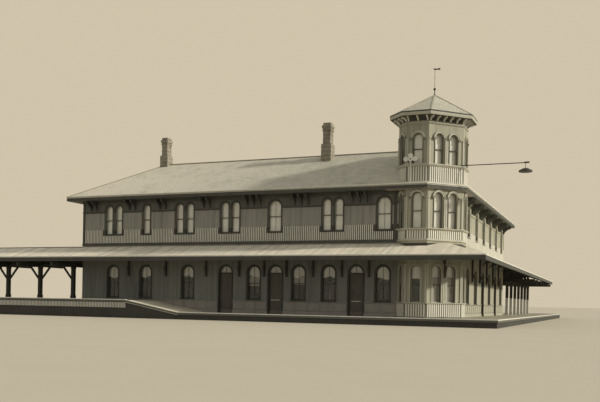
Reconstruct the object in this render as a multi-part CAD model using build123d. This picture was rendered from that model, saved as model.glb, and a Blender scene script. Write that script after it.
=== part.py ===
from build123d import *
import math
import os

# Half-size model of a two-storey timber railway station with an octagonal corner tower.
# All sizes are millimetres of the model, so the real building measures twice as much.
# X runs along the track front towards the tower, Y runs back into the building, Z is up.
# The origin lies on the ground where the planes of the two fronts cross.

# Heights, measured from the top of the low platform unless a name says otherwise
deck_top = 215                  # low platform above the ground
lower_storey = 2180             # platform to the underside of the upper floor
upper_floor_depth = 110
eave_bottom = 3945              # underside of the main eave
eave_depth = 95
lookout_floor_depth = 100
tower_eave_bottom = 6145
tower_eave_depth = 75
tower_roof_rise = 750

# Plan of the two wings
front_length = 13520
side_length = 12300
wing_depth = 4300
wall = 100

# Tower, an octagon drawn out across the corner
tower_axis = 670                # its axis stands this far behind both front planes
tower_half = 957                # axis to the faces parallel to the fronts
tower_half_corner = 723         # axis to the face across the corner
tower_half_flank = 1107         # axis to the faces that turn back to the fronts

# Roofs
roof_pitch = 30
roof_thickness = 60
eave_overhang = 420
corner_eave_overhang = 100
tower_overhang = 262
tower_roof_thickness = 50

# Foundation, floors and platforms
floor_depth = 60
footing_outside = 60
footing_inside = 200
platform_front = 1920           # front wall to the platform's front edge
platform_side = 1775            # side wall to the platform's side edge
nosing = 30
skirt = 50
sleeper = 60
framing_gap = 2
sleeper_pitch = 1525
high_deck_rise = 375
high_deck_east = 10300          # corner to the end of the high platform
ramp_length = 2000

# Canopy against the walls and the open sheds that carry it on
canopy_reach = 1305
canopy_rise = 420
canopy_top = 2295
canopy_thickness = 55
canopy_fascia_depth = 165
canopy_fascia = 30
shed_bay = 1525
west_posts = 4
north_posts = 7
west_first_post = 405           # end wall to the nearest post of each shed
north_first_post = 1525
shed_end_overhang = 450
post = 125
tie_beam_depth = 125
tie_beam_bottom = 1560
tie_beam_thickness = 80
ridge_beam = 110
knee_brace = 70
knee_reach = 420

# Windows
front_pair_places = [0.9005, 0.6829, 0.5521, 0.2785]       # centre from the corner / front length
front_single_places = [0.7981]
front_wide_places = [0.4290, 0.1520]
front_lower_window_places = [0.9005, 0.7981, 0.6712, 0.4834, 0.3636, 0.2859, 0.1525]
front_door_places = [0.5621, 0.4250, 0.2175]
side_bays = 6
side_first_bay = 2500           # corner to the start of the side wall's even bays
side_door_bays = [2, 4]
rear_bays_front_wing = 5
rear_bays_side_wing = 4
end_wall_bays = 2
narrow_window = 300
wide_window = 455
pair_gap = 110
lower_window = 460
lower_sill = 475
lower_head = 1610
upper_sill = 2745
upper_head = 3780
rear_window = 440
lower_rear_head = 1560
upper_rear_head = 3700
pane = 10
pane_lap = 20
casing = 38
casing_stand_out = 20
sill_depth = 32
sill_stand_out = 50

# Tower windows
tower_window = 310
flank_window = 210
tower_pair_spacing = 520
tower_upper_head = 3850
lookout_sill = 4705
lookout_head = 5645
hood_rise = 60
hood_width = 50
hood_stand_out = 45

# Doors
door_width = 470
door_head = 1375
transom_bar = 30
jamb = 60
leaf = 25
leaf_gap = 7
leaf_bottom_gap = 8
stile = 70
panel_recess = 7
kick_plate_depth = 130
kick_plate = 3
knob_radius = 11
knob_length = 34
knob_height = 500
hinge_pin_radius = 4
hinge_play = 0.3
hinge_knuckle_radius = 8
hinge_axis_set_in = 9
hinge_strap_length = 120
hinge_strap_height = 24
hinge_strap_thickness = 4
hinge_bracket_length = 46
hinge_bracket_height = 16
hinge_heights = [220, 1100]

# Brackets
canopy_bracket = 60
canopy_bracket_reach = 760
canopy_bracket_leg = 60
canopy_bracket_brace = 60
eave_bracket = 45
eave_bracket_reach = 350
eave_bracket_drop = 340
eave_bracket_pitch = 240
eave_bracket_bay = 430          # wall between windows that takes one more bracket
tower_bracket = 40
tower_bracket_reach = 200
tower_bracket_drop = 130
tower_bracket_pitch = 250

# Chimneys
west_chimney_place = 11350
west_chimney_width = 235
west_chimney_top = 6600
east_chimney_place = 4650
east_chimney_width = 270
east_chimney_top = 6650
chimney_depth = 300
chimney_base_step = 45
chimney_base_rise = 330
chimney_cap_step = 35
chimney_cap_depth = 90

# Finial, mast and weather vane, with heights above the roof's peak
finial_height = 223
finial_radius = 40
mast_radius = 6
mast_ball_height = 549
mast_ball_radius = 18
vane_height = 810
vane_front = 75                 # mast to the pointer's tip
vane_back = 180                 # mast to the end of the tail
vane_rise = 70                  # how far the pointer's head stands above its body
vane_body = 40
vane_sleeve_height = 44
vane_sleeve_radius = 12
vane_thickness = 8
vane_play = 0.5

# Signal arm and signal target
boom_length = 2090
boom_radius = 14
boom_height = 4720
boom_place = 0.885              # share of the corner face's width
lamp_radius = 200
lamp_depth = 110
lamp_drop = 170
lamp_from_tip = 110
target_lobe = 75
target_spread = 140
target_rise = 100
target_thickness = 14
target_height = 4850
target_place = 1150
target_stand_out = 350
target_stem = 16


# Plan outlines

def ell(outside):
    # the two wings' outline with a square corner, moved outwards
    west = -front_length - outside
    north = side_length + outside
    court_x = -wing_depth - outside
    court_y = wing_depth + outside
    return [(west, -outside), (outside, -outside), (outside, north),
            (court_x, north), (court_x, court_y), (west, court_y)]


def corner_gap(outside):
    # how far from the corner the line of the tower's corner face crosses the fronts
    return tower_axis * 2 - (tower_half_corner + outside) * math.sqrt(2)


def wings(outside, corner_outside):
    # the same outline cut off along the tower's corner face
    points = ell(outside)
    gap = corner_gap(corner_outside)
    return [points[0], (-gap - outside, -outside), (outside, gap + outside), *points[2:]]


def octagon(outside):
    # corners of the tower, counter-clockwise from the west end of its west flank
    flat = tower_half + outside
    corner = (tower_half_corner + outside) * math.sqrt(2)
    flank = (tower_half_flank + outside) * math.sqrt(2)
    local = [(-flat, flat - flank), (flat - flank, -flat), (corner - flat, -flat),
             (flat, flat - corner), (flat, flank - flat), (flank - flat, flat),
             (flat - corner, flat), (-flat, corner - flat)]
    return [(x - tower_axis, y + tower_axis) for x, y in local]


def outline(points):
    return make_face(Polyline(*points, close=True))


def prism(points, bottom, top):
    return Pos(0, 0, bottom) * extrude(outline(points), top - bottom)


def block(x0, x1, y0, y1, z0, z1):
    centre = Pos((x0 + x1) / 2, (y0 + y1) / 2, (z0 + z1) / 2)
    return centre * Box(x1 - x0, y1 - y0, z1 - z0)


def joined(pieces):
    whole = pieces[0]
    for piece in pieces[1:]:
        whole = whole + piece
    return whole


# Wall faces: each is a plane with its x along the wall, its y up from the platform
# and its z out of the building, so that one set of shapes serves every wall

def wall_face(start, end):
    run = (end[0] - start[0], end[1] - start[1])
    return Plane(origin=(start[0], start[1], deck_top), x_dir=(run[0], run[1], 0),
                 z_dir=(run[1], -run[0], 0))


def rectangle(left, right, bottom, top):
    return Pos((left + right) / 2, (bottom + top) / 2) * Rectangle(right - left, top - bottom)


def arch(centre, width, sill, head):
    half = width / 2
    spring = head - half
    sides = Polyline((centre - half, spring), (centre - half, sill),
                     (centre + half, sill), (centre + half, spring))
    crown = ThreePointArc((centre + half, spring), (centre, head), (centre - half, spring))
    return make_face([sides, crown])


def flat_head(centre, width, sill, head):
    return rectangle(centre - width / 2, centre + width / 2, sill, head)


def panel(face, left, right, bottom, top, holes=()):
    sheet = rectangle(left, right, bottom, top)
    for hole in holes:
        sheet = sheet - hole
    return extrude(face * sheet, -wall)


def out_of(face, shape, near, far):
    # a flat shape given thickness between two distances out of the wall's face
    return extrude(face.offset(near) * shape, far - near)


front_face = wall_face((-front_length, 0), (0, 0))
side_face = wall_face((0, 0), (0, side_length))
north_face = wall_face((0, side_length), (-wing_depth, side_length))
west_face = wall_face((-front_length, wing_depth), (-front_length, 0))
court_front_face = wall_face((-wing_depth, wing_depth), (-front_length, wing_depth))
court_side_face = wall_face((-wing_depth, side_length), (-wing_depth, wing_depth))
corners = octagon(0)
tower_faces = [wall_face(corners[i], corners[(i + 1) % 8]) for i in range(8)]
tower_widths = [math.dist(corners[i], corners[(i + 1) % 8]) for i in range(8)]
outer_tower_faces = range(5)
upper_floor_top = lower_storey + upper_floor_depth
eave_top = eave_bottom + eave_depth
eave_edge = eave_top + roof_thickness
lookout_floor_top = eave_top + lookout_floor_depth
tower_eave_top = tower_eave_bottom + tower_eave_depth
footing_top = deck_top - floor_depth
tower_prism_top = deck_top + tower_eave_bottom


# Where the openings are: centre along the wall, width, sill, head

def along_front(places):
    return [front_length * (1 - place) for place in places]


def front_upper_groups():
    half = (narrow_window + pair_gap) / 2
    groups = [[(u - half, narrow_window), (u + half, narrow_window)]
              for u in along_front(front_pair_places)]
    groups += [[(u, narrow_window)] for u in along_front(front_single_places)]
    groups += [[(u, wide_window)] for u in along_front(front_wide_places)]
    return [[(u, w, upper_sill, upper_head) for u, w in group] for group in groups]


def front_lower_groups():
    return [[(u, lower_window, lower_sill, lower_head)]
            for u in along_front(front_lower_window_places)]


def side_centres():
    pitch = (side_length - side_first_bay) / side_bays
    return [side_first_bay + pitch * (i + 0.5) for i in range(side_bays)]


def side_upper_groups():
    return [[(u, wide_window, upper_sill, upper_head)] for u in side_centres()]


def side_lower_groups():
    return [[(u, lower_window, lower_sill, lower_head)]
            for i, u in enumerate(side_centres()) if i not in side_door_bays]


def side_doors():
    return [side_centres()[i] for i in side_door_bays]


def tower_groups(sill, head):
    # one list per outer face: two windows across the corner, one on the others
    groups = []
    for i in outer_tower_faces:
        middle = tower_widths[i] / 2
        if i == 2:
            places = [middle - tower_pair_spacing / 2, middle + tower_pair_spacing / 2]
            groups.append([(u, tower_window, sill, head) for u in places])
        elif i in (1, 3):
            groups.append([(middle, tower_window, sill, head)])
        else:
            groups.append([(middle, flank_window, sill, head)])
    return groups


def rear_openings(run, bays, sill, head):
    pitch = run / bays
    return [(pitch * (i + 0.5), rear_window, sill, head) for i in range(bays)]


def rear_rows():
    rows = []
    walls = [(court_front_face, front_length - wing_depth, rear_bays_front_wing),
             (court_side_face, side_length - wing_depth, rear_bays_side_wing),
             (west_face, wing_depth, end_wall_bays), (north_face, wing_depth, end_wall_bays)]
    for face, run, bays in walls:
        rows.append((face, rear_openings(run, bays, lower_sill, lower_rear_head),
                     rear_openings(run, bays, upper_sill, upper_rear_head)))
    return rows


def arches(groups):
    return [arch(*opening) for group in groups for opening in group]


# Ground, floors and platforms

def foundation():
    ring = prism(ell(footing_outside), 0, footing_top) - prism(ell(-footing_inside), 0, footing_top)
    return ring + prism(octagon(footing_outside), 0, footing_top)


def ground_floor():
    return (prism(wings(-wall, -wall), footing_top, deck_top)
            + prism(octagon(-wall), footing_top, deck_top))


def building_plan(bottom, top):
    return prism(wings(0, 0), bottom, top) + prism(octagon(0), bottom, top)


north_end = side_length + north_first_post + shed_bay * (north_posts - 1) + shed_end_overhang
west_end = front_length + west_first_post + shed_bay * (west_posts - 1) + shed_end_overhang
ramp_foot = high_deck_east - ramp_length


def low_deck():
    plan = [(-ramp_foot, -platform_front), (platform_side, -platform_front),
            (platform_side, north_end), (-canopy_reach, north_end),
            (-canopy_reach, side_length), (0, side_length), (0, corner_gap(0)),
            (-corner_gap(0), 0), (-ramp_foot, 0)]
    return prism(plan, footing_top, deck_top) - prism(octagon(0), footing_top, deck_top)


def high_deck():
    top = deck_top + high_deck_rise
    plan = [(-west_end, -platform_front), (-high_deck_east, -platform_front),
            (-high_deck_east, 0), (-front_length, 0), (-front_length, canopy_reach),
            (-west_end, canopy_reach)]
    return prism(plan, top - floor_depth, top)


def side_profile(points, y0, y1):
    # a shape drawn in X and Z, given its width along Y
    return extrude(Plane.XZ.offset(-y1) * outline(points), y1 - y0)


def ramp():
    top = deck_top + high_deck_rise
    profile = [(-high_deck_east, top), (-ramp_foot, deck_top),
               (-ramp_foot, footing_top), (-high_deck_east, top - floor_depth)]
    return side_profile(profile, -platform_front, 0)


def low_framing():
    # skirt boards along the free edges and sleepers between them, under the low deck
    front = -platform_front + nosing
    side = platform_side - nosing
    end = north_end - nosing
    rear = -canopy_reach + nosing
    gap = framing_gap
    boards = [block(-ramp_foot, side, front, front + skirt, 0, footing_top),
              block(side - skirt, side, front + skirt + gap, end, 0, footing_top),
              block(rear, side - skirt - gap, end - skirt, end, 0, footing_top),
              block(rear, rear + skirt, side_length + footing_outside + gap, end - skirt - gap, 0,
                    footing_top)]
    x = -ramp_foot
    while x + sleeper < 0:
        boards.append(block(x, x + sleeper, front + skirt + gap, -footing_outside - gap, 0,
                            footing_top))
        x += sleeper_pitch
    y = front + sleeper_pitch
    while y + sleeper < end - skirt:
        start = footing_outside + gap
        if y > side_length + footing_outside:
            start = rear + skirt + gap
        boards.append(block(start, side - skirt - gap, y, y + sleeper, 0, footing_top))
        y += sleeper_pitch
    pad = prism(octagon(footing_outside + gap), 0, footing_top)
    return [board - pad for board in boards]


def high_framing():
    top = deck_top + high_deck_rise - floor_depth
    front = -platform_front + nosing
    west = -west_end + nosing
    rear = canopy_reach - nosing
    house = -front_length - footing_outside
    gap = framing_gap
    boards = [block(west, -high_deck_east, front, front + skirt, 0, top),
              block(west, west + skirt, front + skirt + gap, rear, 0, top),
              block(west + skirt + gap, house - gap, rear - skirt, rear, 0, top)]
    x = west + sleeper_pitch
    while x + sleeper < -high_deck_east:
        back = rear - skirt - gap if x + sleeper < house else -footing_outside - gap
        boards.append(block(x, x + sleeper, front + skirt + gap, back, 0, top))
        x += sleeper_pitch
    return boards


def ramp_framing():
    top = deck_top + high_deck_rise - floor_depth
    start = -high_deck_east + framing_gap
    profile = [(start, 0), (-ramp_foot - framing_gap, 0), (-ramp_foot - framing_gap, footing_top),
               (start, top)]
    front = -platform_front + nosing
    rear = -footing_outside - framing_gap
    under = ramp()
    return [side_profile(profile, y, y + skirt) - under for y in (front, rear - skirt)]


# Walls

def door_edges(centres, start, end):
    # the stretches of wall between the doorways
    half = door_width / 2 + jamb
    edges = [start]
    for u in sorted(centres):
        edges += [u - half, u + half]
    edges.append(end)
    return [(edges[i], edges[i + 1]) for i in range(0, len(edges), 2)]


def windowed(face, left, right, bottom, top, groups):
    # a stretch of wall with its windows cut through and their casings and sills on it
    inside = [group for group in groups if left < group[0][0] < right]
    stretch = panel(face, left, right, bottom, top, arches(inside))
    for group in inside:
        stretch = stretch + casing_group(face, group)
    return stretch


def lower_wall(face, doors, groups, start, end):
    bottom = footing_top - deck_top
    return [windowed(face, left, right, bottom, lower_storey, groups)
            for left, right in door_edges(doors, start, end)]


def without_tower(piece):
    return piece - prism(octagon(0), 0, tower_prism_top)


def front_wall_lower():
    pieces = lower_wall(front_face, along_front(front_door_places), front_lower_groups(), 0,
                        front_length - tower_axis)
    return [without_tower(piece) for piece in pieces]


def side_wall_lower():
    pieces = lower_wall(side_face, side_doors(), side_lower_groups(), tower_axis, side_length)
    return [without_tower(piece) for piece in pieces]


def door_walls():
    return [(front_face, u) for u in along_front(front_door_places)] + [
        (side_face, u) for u in side_doors()]


def door_heads():
    # wall over each doorway, cut round the arched light
    half = door_width / 2 + jamb
    heads = []
    for face, u in door_walls():
        light = arch(u, door_width, 0, door_head + door_width / 2)
        heads.append(panel(face, u - half, u + half, door_head, lower_storey, [light]))
    return heads


def front_wall_upper():
    return without_tower(windowed(front_face, 0, front_length - tower_axis, upper_floor_top,
                                  eave_bottom, front_upper_groups()))


def side_wall_upper():
    return without_tower(windowed(side_face, tower_axis, side_length, upper_floor_top,
                                  eave_bottom, side_upper_groups()))


def plain_wall(row, left, right):
    # a wall through both storeys with square-headed windows
    face, below, above = row
    openings = below + above
    bottom = footing_top - deck_top
    wall_sheet = panel(face, left, right, bottom, eave_bottom,
                       [flat_head(*opening) for opening in openings])
    for opening in openings:
        wall_sheet = wall_sheet + flat_casing(face, opening)
    return wall_sheet


def rear_wall():
    return plain_wall(rear_rows()[0], -wall, front_length - wing_depth)


def yard_wall():
    return plain_wall(rear_rows()[1], 0, side_length - wing_depth)


def end_walls():
    return [plain_wall(row, wall, wing_depth - wall) for row in rear_rows()[2:]]


def tower_ring(bottom, top):
    return (prism(octagon(0), deck_top + bottom, deck_top + top)
            - prism(octagon(-wall), deck_top + bottom, deck_top + top))


def room_side(bottom, top):
    # the part of the tower that lies inside the rooms
    reach = tower_axis + tower_half * 2
    return block(-reach, -wall, wall, reach, deck_top + bottom, deck_top + top)


def tower_holes(groups):
    holes = []
    for i, group in enumerate(groups):
        holes += [out_of(tower_faces[i], arch(*opening), -wall * 2, wall) for opening in group]
    return holes


def tower_trim(face, group, hooded):
    # hoods or flat casings over one face's windows, each on a sill of its own
    pieces = []
    for u, width, sill, head in group:
        if hooded:
            pieces.append(out_of(face, hood(u, width, head), 0, hood_stand_out))
        else:
            ring = arch(u, width + casing * 2, sill, head + casing) - arch(u, width, sill, head)
            pieces.append(out_of(face, ring, 0, casing_stand_out))
        ledge = rectangle(u - width / 2 - casing, u + width / 2 + casing, sill - sill_depth, sill)
        pieces.append(out_of(face, ledge, 0, casing_stand_out))
    return pieces


def tower_walls(bottom, top, groups, open_to_room, hooded):
    ring = tower_ring(bottom, top)
    for i, group in enumerate(groups):
        for piece in tower_trim(tower_faces[i], group, hooded):
            ring = ring + piece
    for hole in tower_holes(groups):
        ring = ring - hole
    if open_to_room:
        ring = ring - room_side(bottom, top)
    return ring


def tower_walls_lower():
    return tower_walls(footing_top - deck_top, lower_storey, tower_groups(lower_sill, lower_head),
                       True, False)


def tower_walls_upper():
    return tower_walls(upper_floor_top, eave_bottom, tower_groups(upper_sill, tower_upper_head),
                       True, True)


def lookout_walls():
    return tower_walls(lookout_floor_top, tower_eave_bottom,
                       tower_groups(lookout_sill, lookout_head), False, True)


def upper_floor():
    slab = building_plan(deck_top + lower_storey, deck_top + upper_floor_top)
    for piece in [rear_wall(), yard_wall()] + end_walls():
        slab = slab - piece
    return slab


def lookout_floor():
    return prism(octagon(0), deck_top + eave_top, deck_top + lookout_floor_top)


# Roofs

def eave_plan():
    return wings(eave_overhang, corner_eave_overhang)


def main_cornice():
    bottom = deck_top + eave_bottom
    top = deck_top + eave_top
    rooms = prism(wings(-wall, -wall), bottom, top) + prism(octagon(-wall), bottom, top)
    return prism(eave_plan(), bottom, top) - rooms


def hipped(x0, x1, y0, y1, base):
    # a hipped roof over a rectangle, its long side along X
    slope = math.tan(math.radians(roof_pitch))
    half = (y1 - y0) / 2
    rise = half * slope
    gable = outline([(y0, base), (y0 + half, base + rise), (y1, base)])
    hips = outline([(x0, base), (x0 + half, base + rise), (x1 - half, base + rise), (x1, base)])
    along = extrude(Plane.YZ.offset(x0) * gable, x1 - x0)
    across = extrude(Plane.XZ.offset(-y1) * hips, y1 - y0)
    return along & across


def roof_mass(base):
    o = eave_overhang
    front = hipped(-front_length - o, o, -o, wing_depth + o, base)
    side = Rot(0, 0, 90) * hipped(-o, side_length + o, -o, wing_depth + o, base)
    return front + side


def corner_slope(base):
    # everything under the short roof plane that faces the tower's corner
    reach = front_length + side_length
    slope = math.tan(math.radians(roof_pitch))
    first = eave_plan()[1]
    second = eave_plan()[2]
    middle = ((first[0] + second[0]) / 2, (first[1] + second[1]) / 2, 0)
    across = Plane(origin=middle, x_dir=(-1, 1, 0), z_dir=(1, 1, 0))
    under = outline([(0, base - reach), (0, base), (reach, base + reach * slope),
                     (reach, base - reach)])
    return extrude(across * under, reach, both=True)


def main_roof():
    base = deck_top + eave_top
    edge = prism(eave_plan(), base, base + roof_thickness)
    outer = edge + (roof_mass(base + roof_thickness) & corner_slope(base + roof_thickness))
    inner = roof_mass(base) & corner_slope(base)
    shell = outer - inner
    return shell - prism(octagon(0), base, tower_prism_top)


def pyramid(outside, base, rise):
    apex = Vertex(-tower_axis, tower_axis, base + rise)
    return loft([Pos(0, 0, base) * outline(octagon(outside)), apex])


def tower_cornice():
    bottom = deck_top + tower_eave_bottom
    top = deck_top + tower_eave_top
    return prism(octagon(tower_overhang), bottom, top) - prism(octagon(-wall), bottom, top)


def tower_roof():
    base = deck_top + tower_eave_top
    edge = prism(octagon(tower_overhang), base, base + tower_roof_thickness)
    outer = edge + pyramid(tower_overhang, base + tower_roof_thickness, tower_roof_rise)
    return outer - pyramid(tower_overhang, base, tower_roof_rise)


roof_peak = deck_top + tower_eave_top + tower_roof_thickness + tower_roof_rise
ball_height = finial_height - finial_radius


def on_tower_axis(height, solid):
    return Pos(-tower_axis, tower_axis, roof_peak + height) * solid


def upright(radius, height):
    return Cylinder(radius, height, align=(Align.CENTER, Align.CENTER, Align.MIN))


def tower_finial():
    # turned spindle with a faceted ball, and the mast with a small ball under the vane
    sunk = finial_height * 0.2
    neck = finial_radius * 0.35
    flat = finial_radius * 0.4
    turned = revolve(Plane.XZ * outline([
        (0, -sunk), (finial_radius, -sunk), (neck, finial_height * 0.2),
        (neck, ball_height - finial_radius), (finial_radius, ball_height - flat),
        (finial_radius, ball_height + flat), (neck, finial_height), (0, finial_height)]), Axis.Z)
    half = mast_ball_radius
    bead = revolve(Plane.XZ * outline([
        (0, mast_ball_height - half), (half, mast_ball_height), (0, mast_ball_height + half)]),
        Axis.Z)
    sleeve_bottom = vane_height - vane_sleeve_height / 2 - vane_play
    sleeve_top = vane_height + vane_sleeve_height / 2 + vane_play
    mast = Pos(0, 0, ball_height) * upright(mast_radius, sleeve_top - ball_height)
    collar = Pos(0, 0, sleeve_bottom - mast_radius) * upright(vane_sleeve_radius, mast_radius)
    cap = Pos(0, 0, sleeve_top) * upright(vane_sleeve_radius, mast_radius)
    return on_tower_axis(0, turned + bead + mast + collar + cap) - tower_roof()


def weather_vane():
    # a plate with a raised head and a long notched tail, on a sleeve that turns on the mast
    half = vane_body / 2
    neck = vane_sleeve_radius * 2
    plate = outline([(-vane_front, vane_rise), (-neck, half), (vane_back * 0.6, half),
                     (vane_back, vane_body), (vane_back * 0.85, 0), (vane_back, -vane_body),
                     (vane_back * 0.6, -half), (-neck, -half), (-vane_front * 0.7, vane_rise / 2)])
    base = Pos(0, 0, -vane_sleeve_height / 2)
    vane = out_of(Plane.XZ, plate, -vane_thickness / 2, vane_thickness / 2)
    vane = vane + base * upright(vane_sleeve_radius, vane_sleeve_height)
    vane = vane - base * upright(mast_radius + vane_play, vane_sleeve_height)
    return on_tower_axis(vane_height, vane)


# Canopies and sheds

def canopy_slope():
    return canopy_rise / canopy_reach


def canopy_profile():
    # half of a shed's roof in section: out from the ridge line, up from the platform
    edge = canopy_top - canopy_rise
    inner = canopy_reach - canopy_fascia
    inner_under = canopy_top - canopy_thickness - inner * canopy_slope()
    return [(0, canopy_top), (canopy_reach, edge), (canopy_reach, edge - canopy_fascia_depth),
            (inner, edge - canopy_fascia_depth), (inner, inner_under),
            (0, canopy_top - canopy_thickness)]


def umbrella_profile():
    half = canopy_profile()
    return half + [(-x, z) for x, z in half[4:0:-1]]


def wall_canopy_profile():
    # the same with a level strip at the wall, which fills the corner in front of the tower
    half = canopy_profile()
    under = canopy_top - canopy_thickness
    return half + [(-tower_axis, under), (-tower_axis, canopy_top)]


def section_plane(origin, out):
    # a plane with x along 'out' and y up
    return Plane(origin=(origin[0], origin[1], deck_top), x_dir=(out[0], out[1], 0),
                 z_dir=(out[1], -out[0], 0))


def front_canopy():
    reach = canopy_reach
    run = extrude(section_plane((-front_length, 0), (0, -1)) * outline(wall_canopy_profile()),
                  -(front_length + reach))
    mitre = [(-front_length, 0), (-tower_axis, 0), (-tower_axis, tower_axis), (reach, -reach),
             (-front_length, -reach)]
    return without_tower(run & prism(mitre, 0, tower_prism_top))


def side_canopy():
    reach = canopy_reach
    run = extrude(section_plane((0, -reach), (1, 0)) * outline(wall_canopy_profile()),
                  -(side_length + reach))
    mitre = [(0, tower_axis), (-tower_axis, tower_axis), (reach, -reach), (reach, side_length),
             (0, side_length)]
    return without_tower(run & prism(mitre, 0, tower_prism_top))


def west_shed_roof():
    return extrude(section_plane((-west_end, 0), (0, -1)) * outline(umbrella_profile()),
                   -(west_end - front_length))


def north_shed_roof():
    return extrude(section_plane((0, side_length), (1, 0)) * outline(umbrella_profile()),
                   -(north_end - side_length))


def truss_profile():
    # tie beam, rafters and ridge post that carry one line of the shed's roof
    under = canopy_top - canopy_thickness
    inner = canopy_reach - canopy_fascia
    slope = canopy_slope()
    reach = (under - tie_beam_bottom - tie_beam_depth) / slope
    reach = min(reach, inner - canopy_fascia)
    tip = under - reach * slope
    whole = outline([(-reach, tie_beam_bottom), (reach, tie_beam_bottom), (reach, tip),
                     (0, under), (-reach, tip)])
    half_post = post / 2
    foot = tie_beam_bottom + tie_beam_depth
    crown = under - half_post * slope - tie_beam_depth
    end = (crown - foot) / slope + half_post
    hole = outline([(half_post, foot), (end, foot), (half_post, crown)])
    return whole - hole - mirror(hole, Plane.YZ)


def shed_frame(origin, along, first, count, floor_level):
    # posts, trusses, ridge beam and knee braces of one shed, in one joined frame
    out = (along[1], -along[0])
    under = canopy_top - canopy_thickness
    half = post / 2
    pieces = []
    places = [first + shed_bay * i for i in range(count)]
    line = Plane(origin=(origin[0], origin[1], deck_top), x_dir=(along[0], along[1], 0),
                 z_dir=(along[1], -along[0], 0))
    beam = rectangle(places[0] - half, places[-1] + half, tie_beam_bottom,
                     tie_beam_bottom + ridge_beam)
    pieces.append(out_of(line, beam, -ridge_beam / 2, ridge_beam / 2))
    ridge_top = under - ridge_beam / 2 * canopy_slope()
    ridge = rectangle(places[0] - half, places[-1] + half, ridge_top - ridge_beam, ridge_top)
    pieces.append(out_of(line, ridge, -ridge_beam / 2, ridge_beam / 2))
    for place in places:
        foot = rectangle(place - half, place + half, floor_level, tie_beam_bottom)
        pieces.append(out_of(line, foot, -half, half))
        centre = (origin[0] + along[0] * place, origin[1] + along[1] * place)
        truss = section_plane(centre, out) * truss_profile()
        pieces.append(extrude(truss, tie_beam_thickness / 2, both=True))
        for sign in (-1, 1):
            if place + sign * knee_reach < 0:
                continue
            start = place + sign * half
            knee = outline([(start, tie_beam_bottom - knee_reach),
                            (start + sign * (knee_reach - knee_brace), tie_beam_bottom),
                            (start + sign * knee_reach, tie_beam_bottom),
                            (start, tie_beam_bottom - knee_reach - knee_brace)])
            pieces.append(out_of(line, knee, -knee_brace / 2, knee_brace / 2))
    return joined(pieces)


def west_shed_frame():
    return shed_frame((-front_length, 0), (-1, 0), west_first_post, west_posts, high_deck_rise)


def north_shed_frame():
    return shed_frame((0, side_length), (0, 1), north_first_post, north_posts, 0)


def canopy_bracket_profile():
    # wall leg, arm along the roof's slope and a round brace between them
    slope = canopy_slope()
    top = canopy_top - canopy_thickness
    reach = canopy_bracket_reach
    leg = canopy_bracket_leg
    tip = top - reach * slope
    radius = reach - leg
    arm_under = tip - canopy_bracket_brace
    foot = arm_under - radius
    turn = radius * math.sqrt(0.5)
    whole = make_face([
        Polyline((leg, foot), (0, foot), (0, top), (reach, tip), (reach, arm_under)),
        ThreePointArc((reach, arm_under), (reach - turn, foot + turn), (leg, foot))])
    brace = canopy_bracket_brace * 1.6
    start = (radius - turn) + brace
    gap = outline([(leg, arm_under + radius * slope), (leg, foot + brace * 2.4),
                   (start, foot + turn + brace * 0.3), (reach - brace * 2.4, tip)])
    return whole - gap


def bracket_on(face, place, profile, thickness):
    # a bracket's profile set square to a wall face
    spot = face.from_local_coords((place, 0, 0))
    side = Plane(origin=spot, x_dir=face.z_dir, z_dir=-face.x_dir)
    return extrude(side * profile, thickness / 2, both=True)


def between(places):
    ordered = sorted(places)
    return [(a + b) / 2 for a, b in zip(ordered, ordered[1:])]


def front_canopy_brackets():
    openings = along_front(front_lower_window_places + front_door_places)
    return [bracket_on(front_face, u, canopy_bracket_profile(), canopy_bracket)
            for u in between(openings)]


def side_canopy_brackets():
    return [bracket_on(side_face, u, canopy_bracket_profile(), canopy_bracket)
            for u in between(side_centres())]


def corner_canopy_bracket():
    return bracket_on(tower_faces[2], tower_widths[2] / 2, canopy_bracket_profile(),
                      canopy_bracket)


# Eave brackets, belts and hoods

def scroll(reach, drop):
    # a sawn eave bracket in section, hanging below the soffit it carries
    return outline([(0, 0), (0, -drop), (reach * 0.16, -drop), (reach * 0.28, -drop * 0.72),
                    (reach * 0.6, -drop * 0.44), (reach, -drop * 0.3), (reach, 0)])


def evenly(start, end, pitch):
    count = max(1, round((end - start) / pitch))
    return [start + (end - start) * i / count for i in range(count + 1)]


def scrolls_between(face, groups, start, end):
    # brackets grouped over the middle of each stretch of wall between windows
    edges = [start]
    for group in sorted(groups, key=lambda group: group[0][0]):
        edges += [group[0][0] - group[0][1] / 2, group[-1][0] + group[-1][1] / 2]
    edges.append(end)
    hung = Pos(0, eave_bottom) * scroll(eave_bracket_reach, eave_bracket_drop)
    brackets = []
    for left, right in zip(edges[::2], edges[1::2]):
        count = round((right - left) / eave_bracket_bay)
        for i in range(count):
            u = (left + right) / 2 + (i - (count - 1) / 2) * eave_bracket_pitch
            brackets.append(bracket_on(face, u, hung, eave_bracket))
    return brackets


def eave_brackets():
    tower_edge = tower_axis + tower_half
    return (scrolls_between(front_face, front_upper_groups(), 0, front_length - tower_edge)
            + scrolls_between(side_face, side_upper_groups(), tower_edge, side_length))


def tower_brackets():
    hung = Pos(0, tower_eave_bottom) * scroll(tower_bracket_reach, tower_bracket_drop)
    brackets = []
    for face, width in zip(tower_faces, tower_widths):
        for u in evenly(tower_bracket, width - tower_bracket, tower_bracket_pitch):
            brackets.append(bracket_on(face, u, hung, tower_bracket))
    return brackets


def hood(centre, width, head):
    half = width / 2
    spring = head - half
    outer = half + hood_width
    ring = Pos(centre, spring) * (Circle(outer) - Circle(half))
    upper = ring & rectangle(centre - outer, centre + outer, spring, head + hood_width)
    imposts = [rectangle(centre + side * half, centre + side * outer, spring - hood_rise, spring)
               for side in (-1, 1)]
    return upper + imposts[0] + imposts[1]


# Window casings, panes and doors

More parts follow.
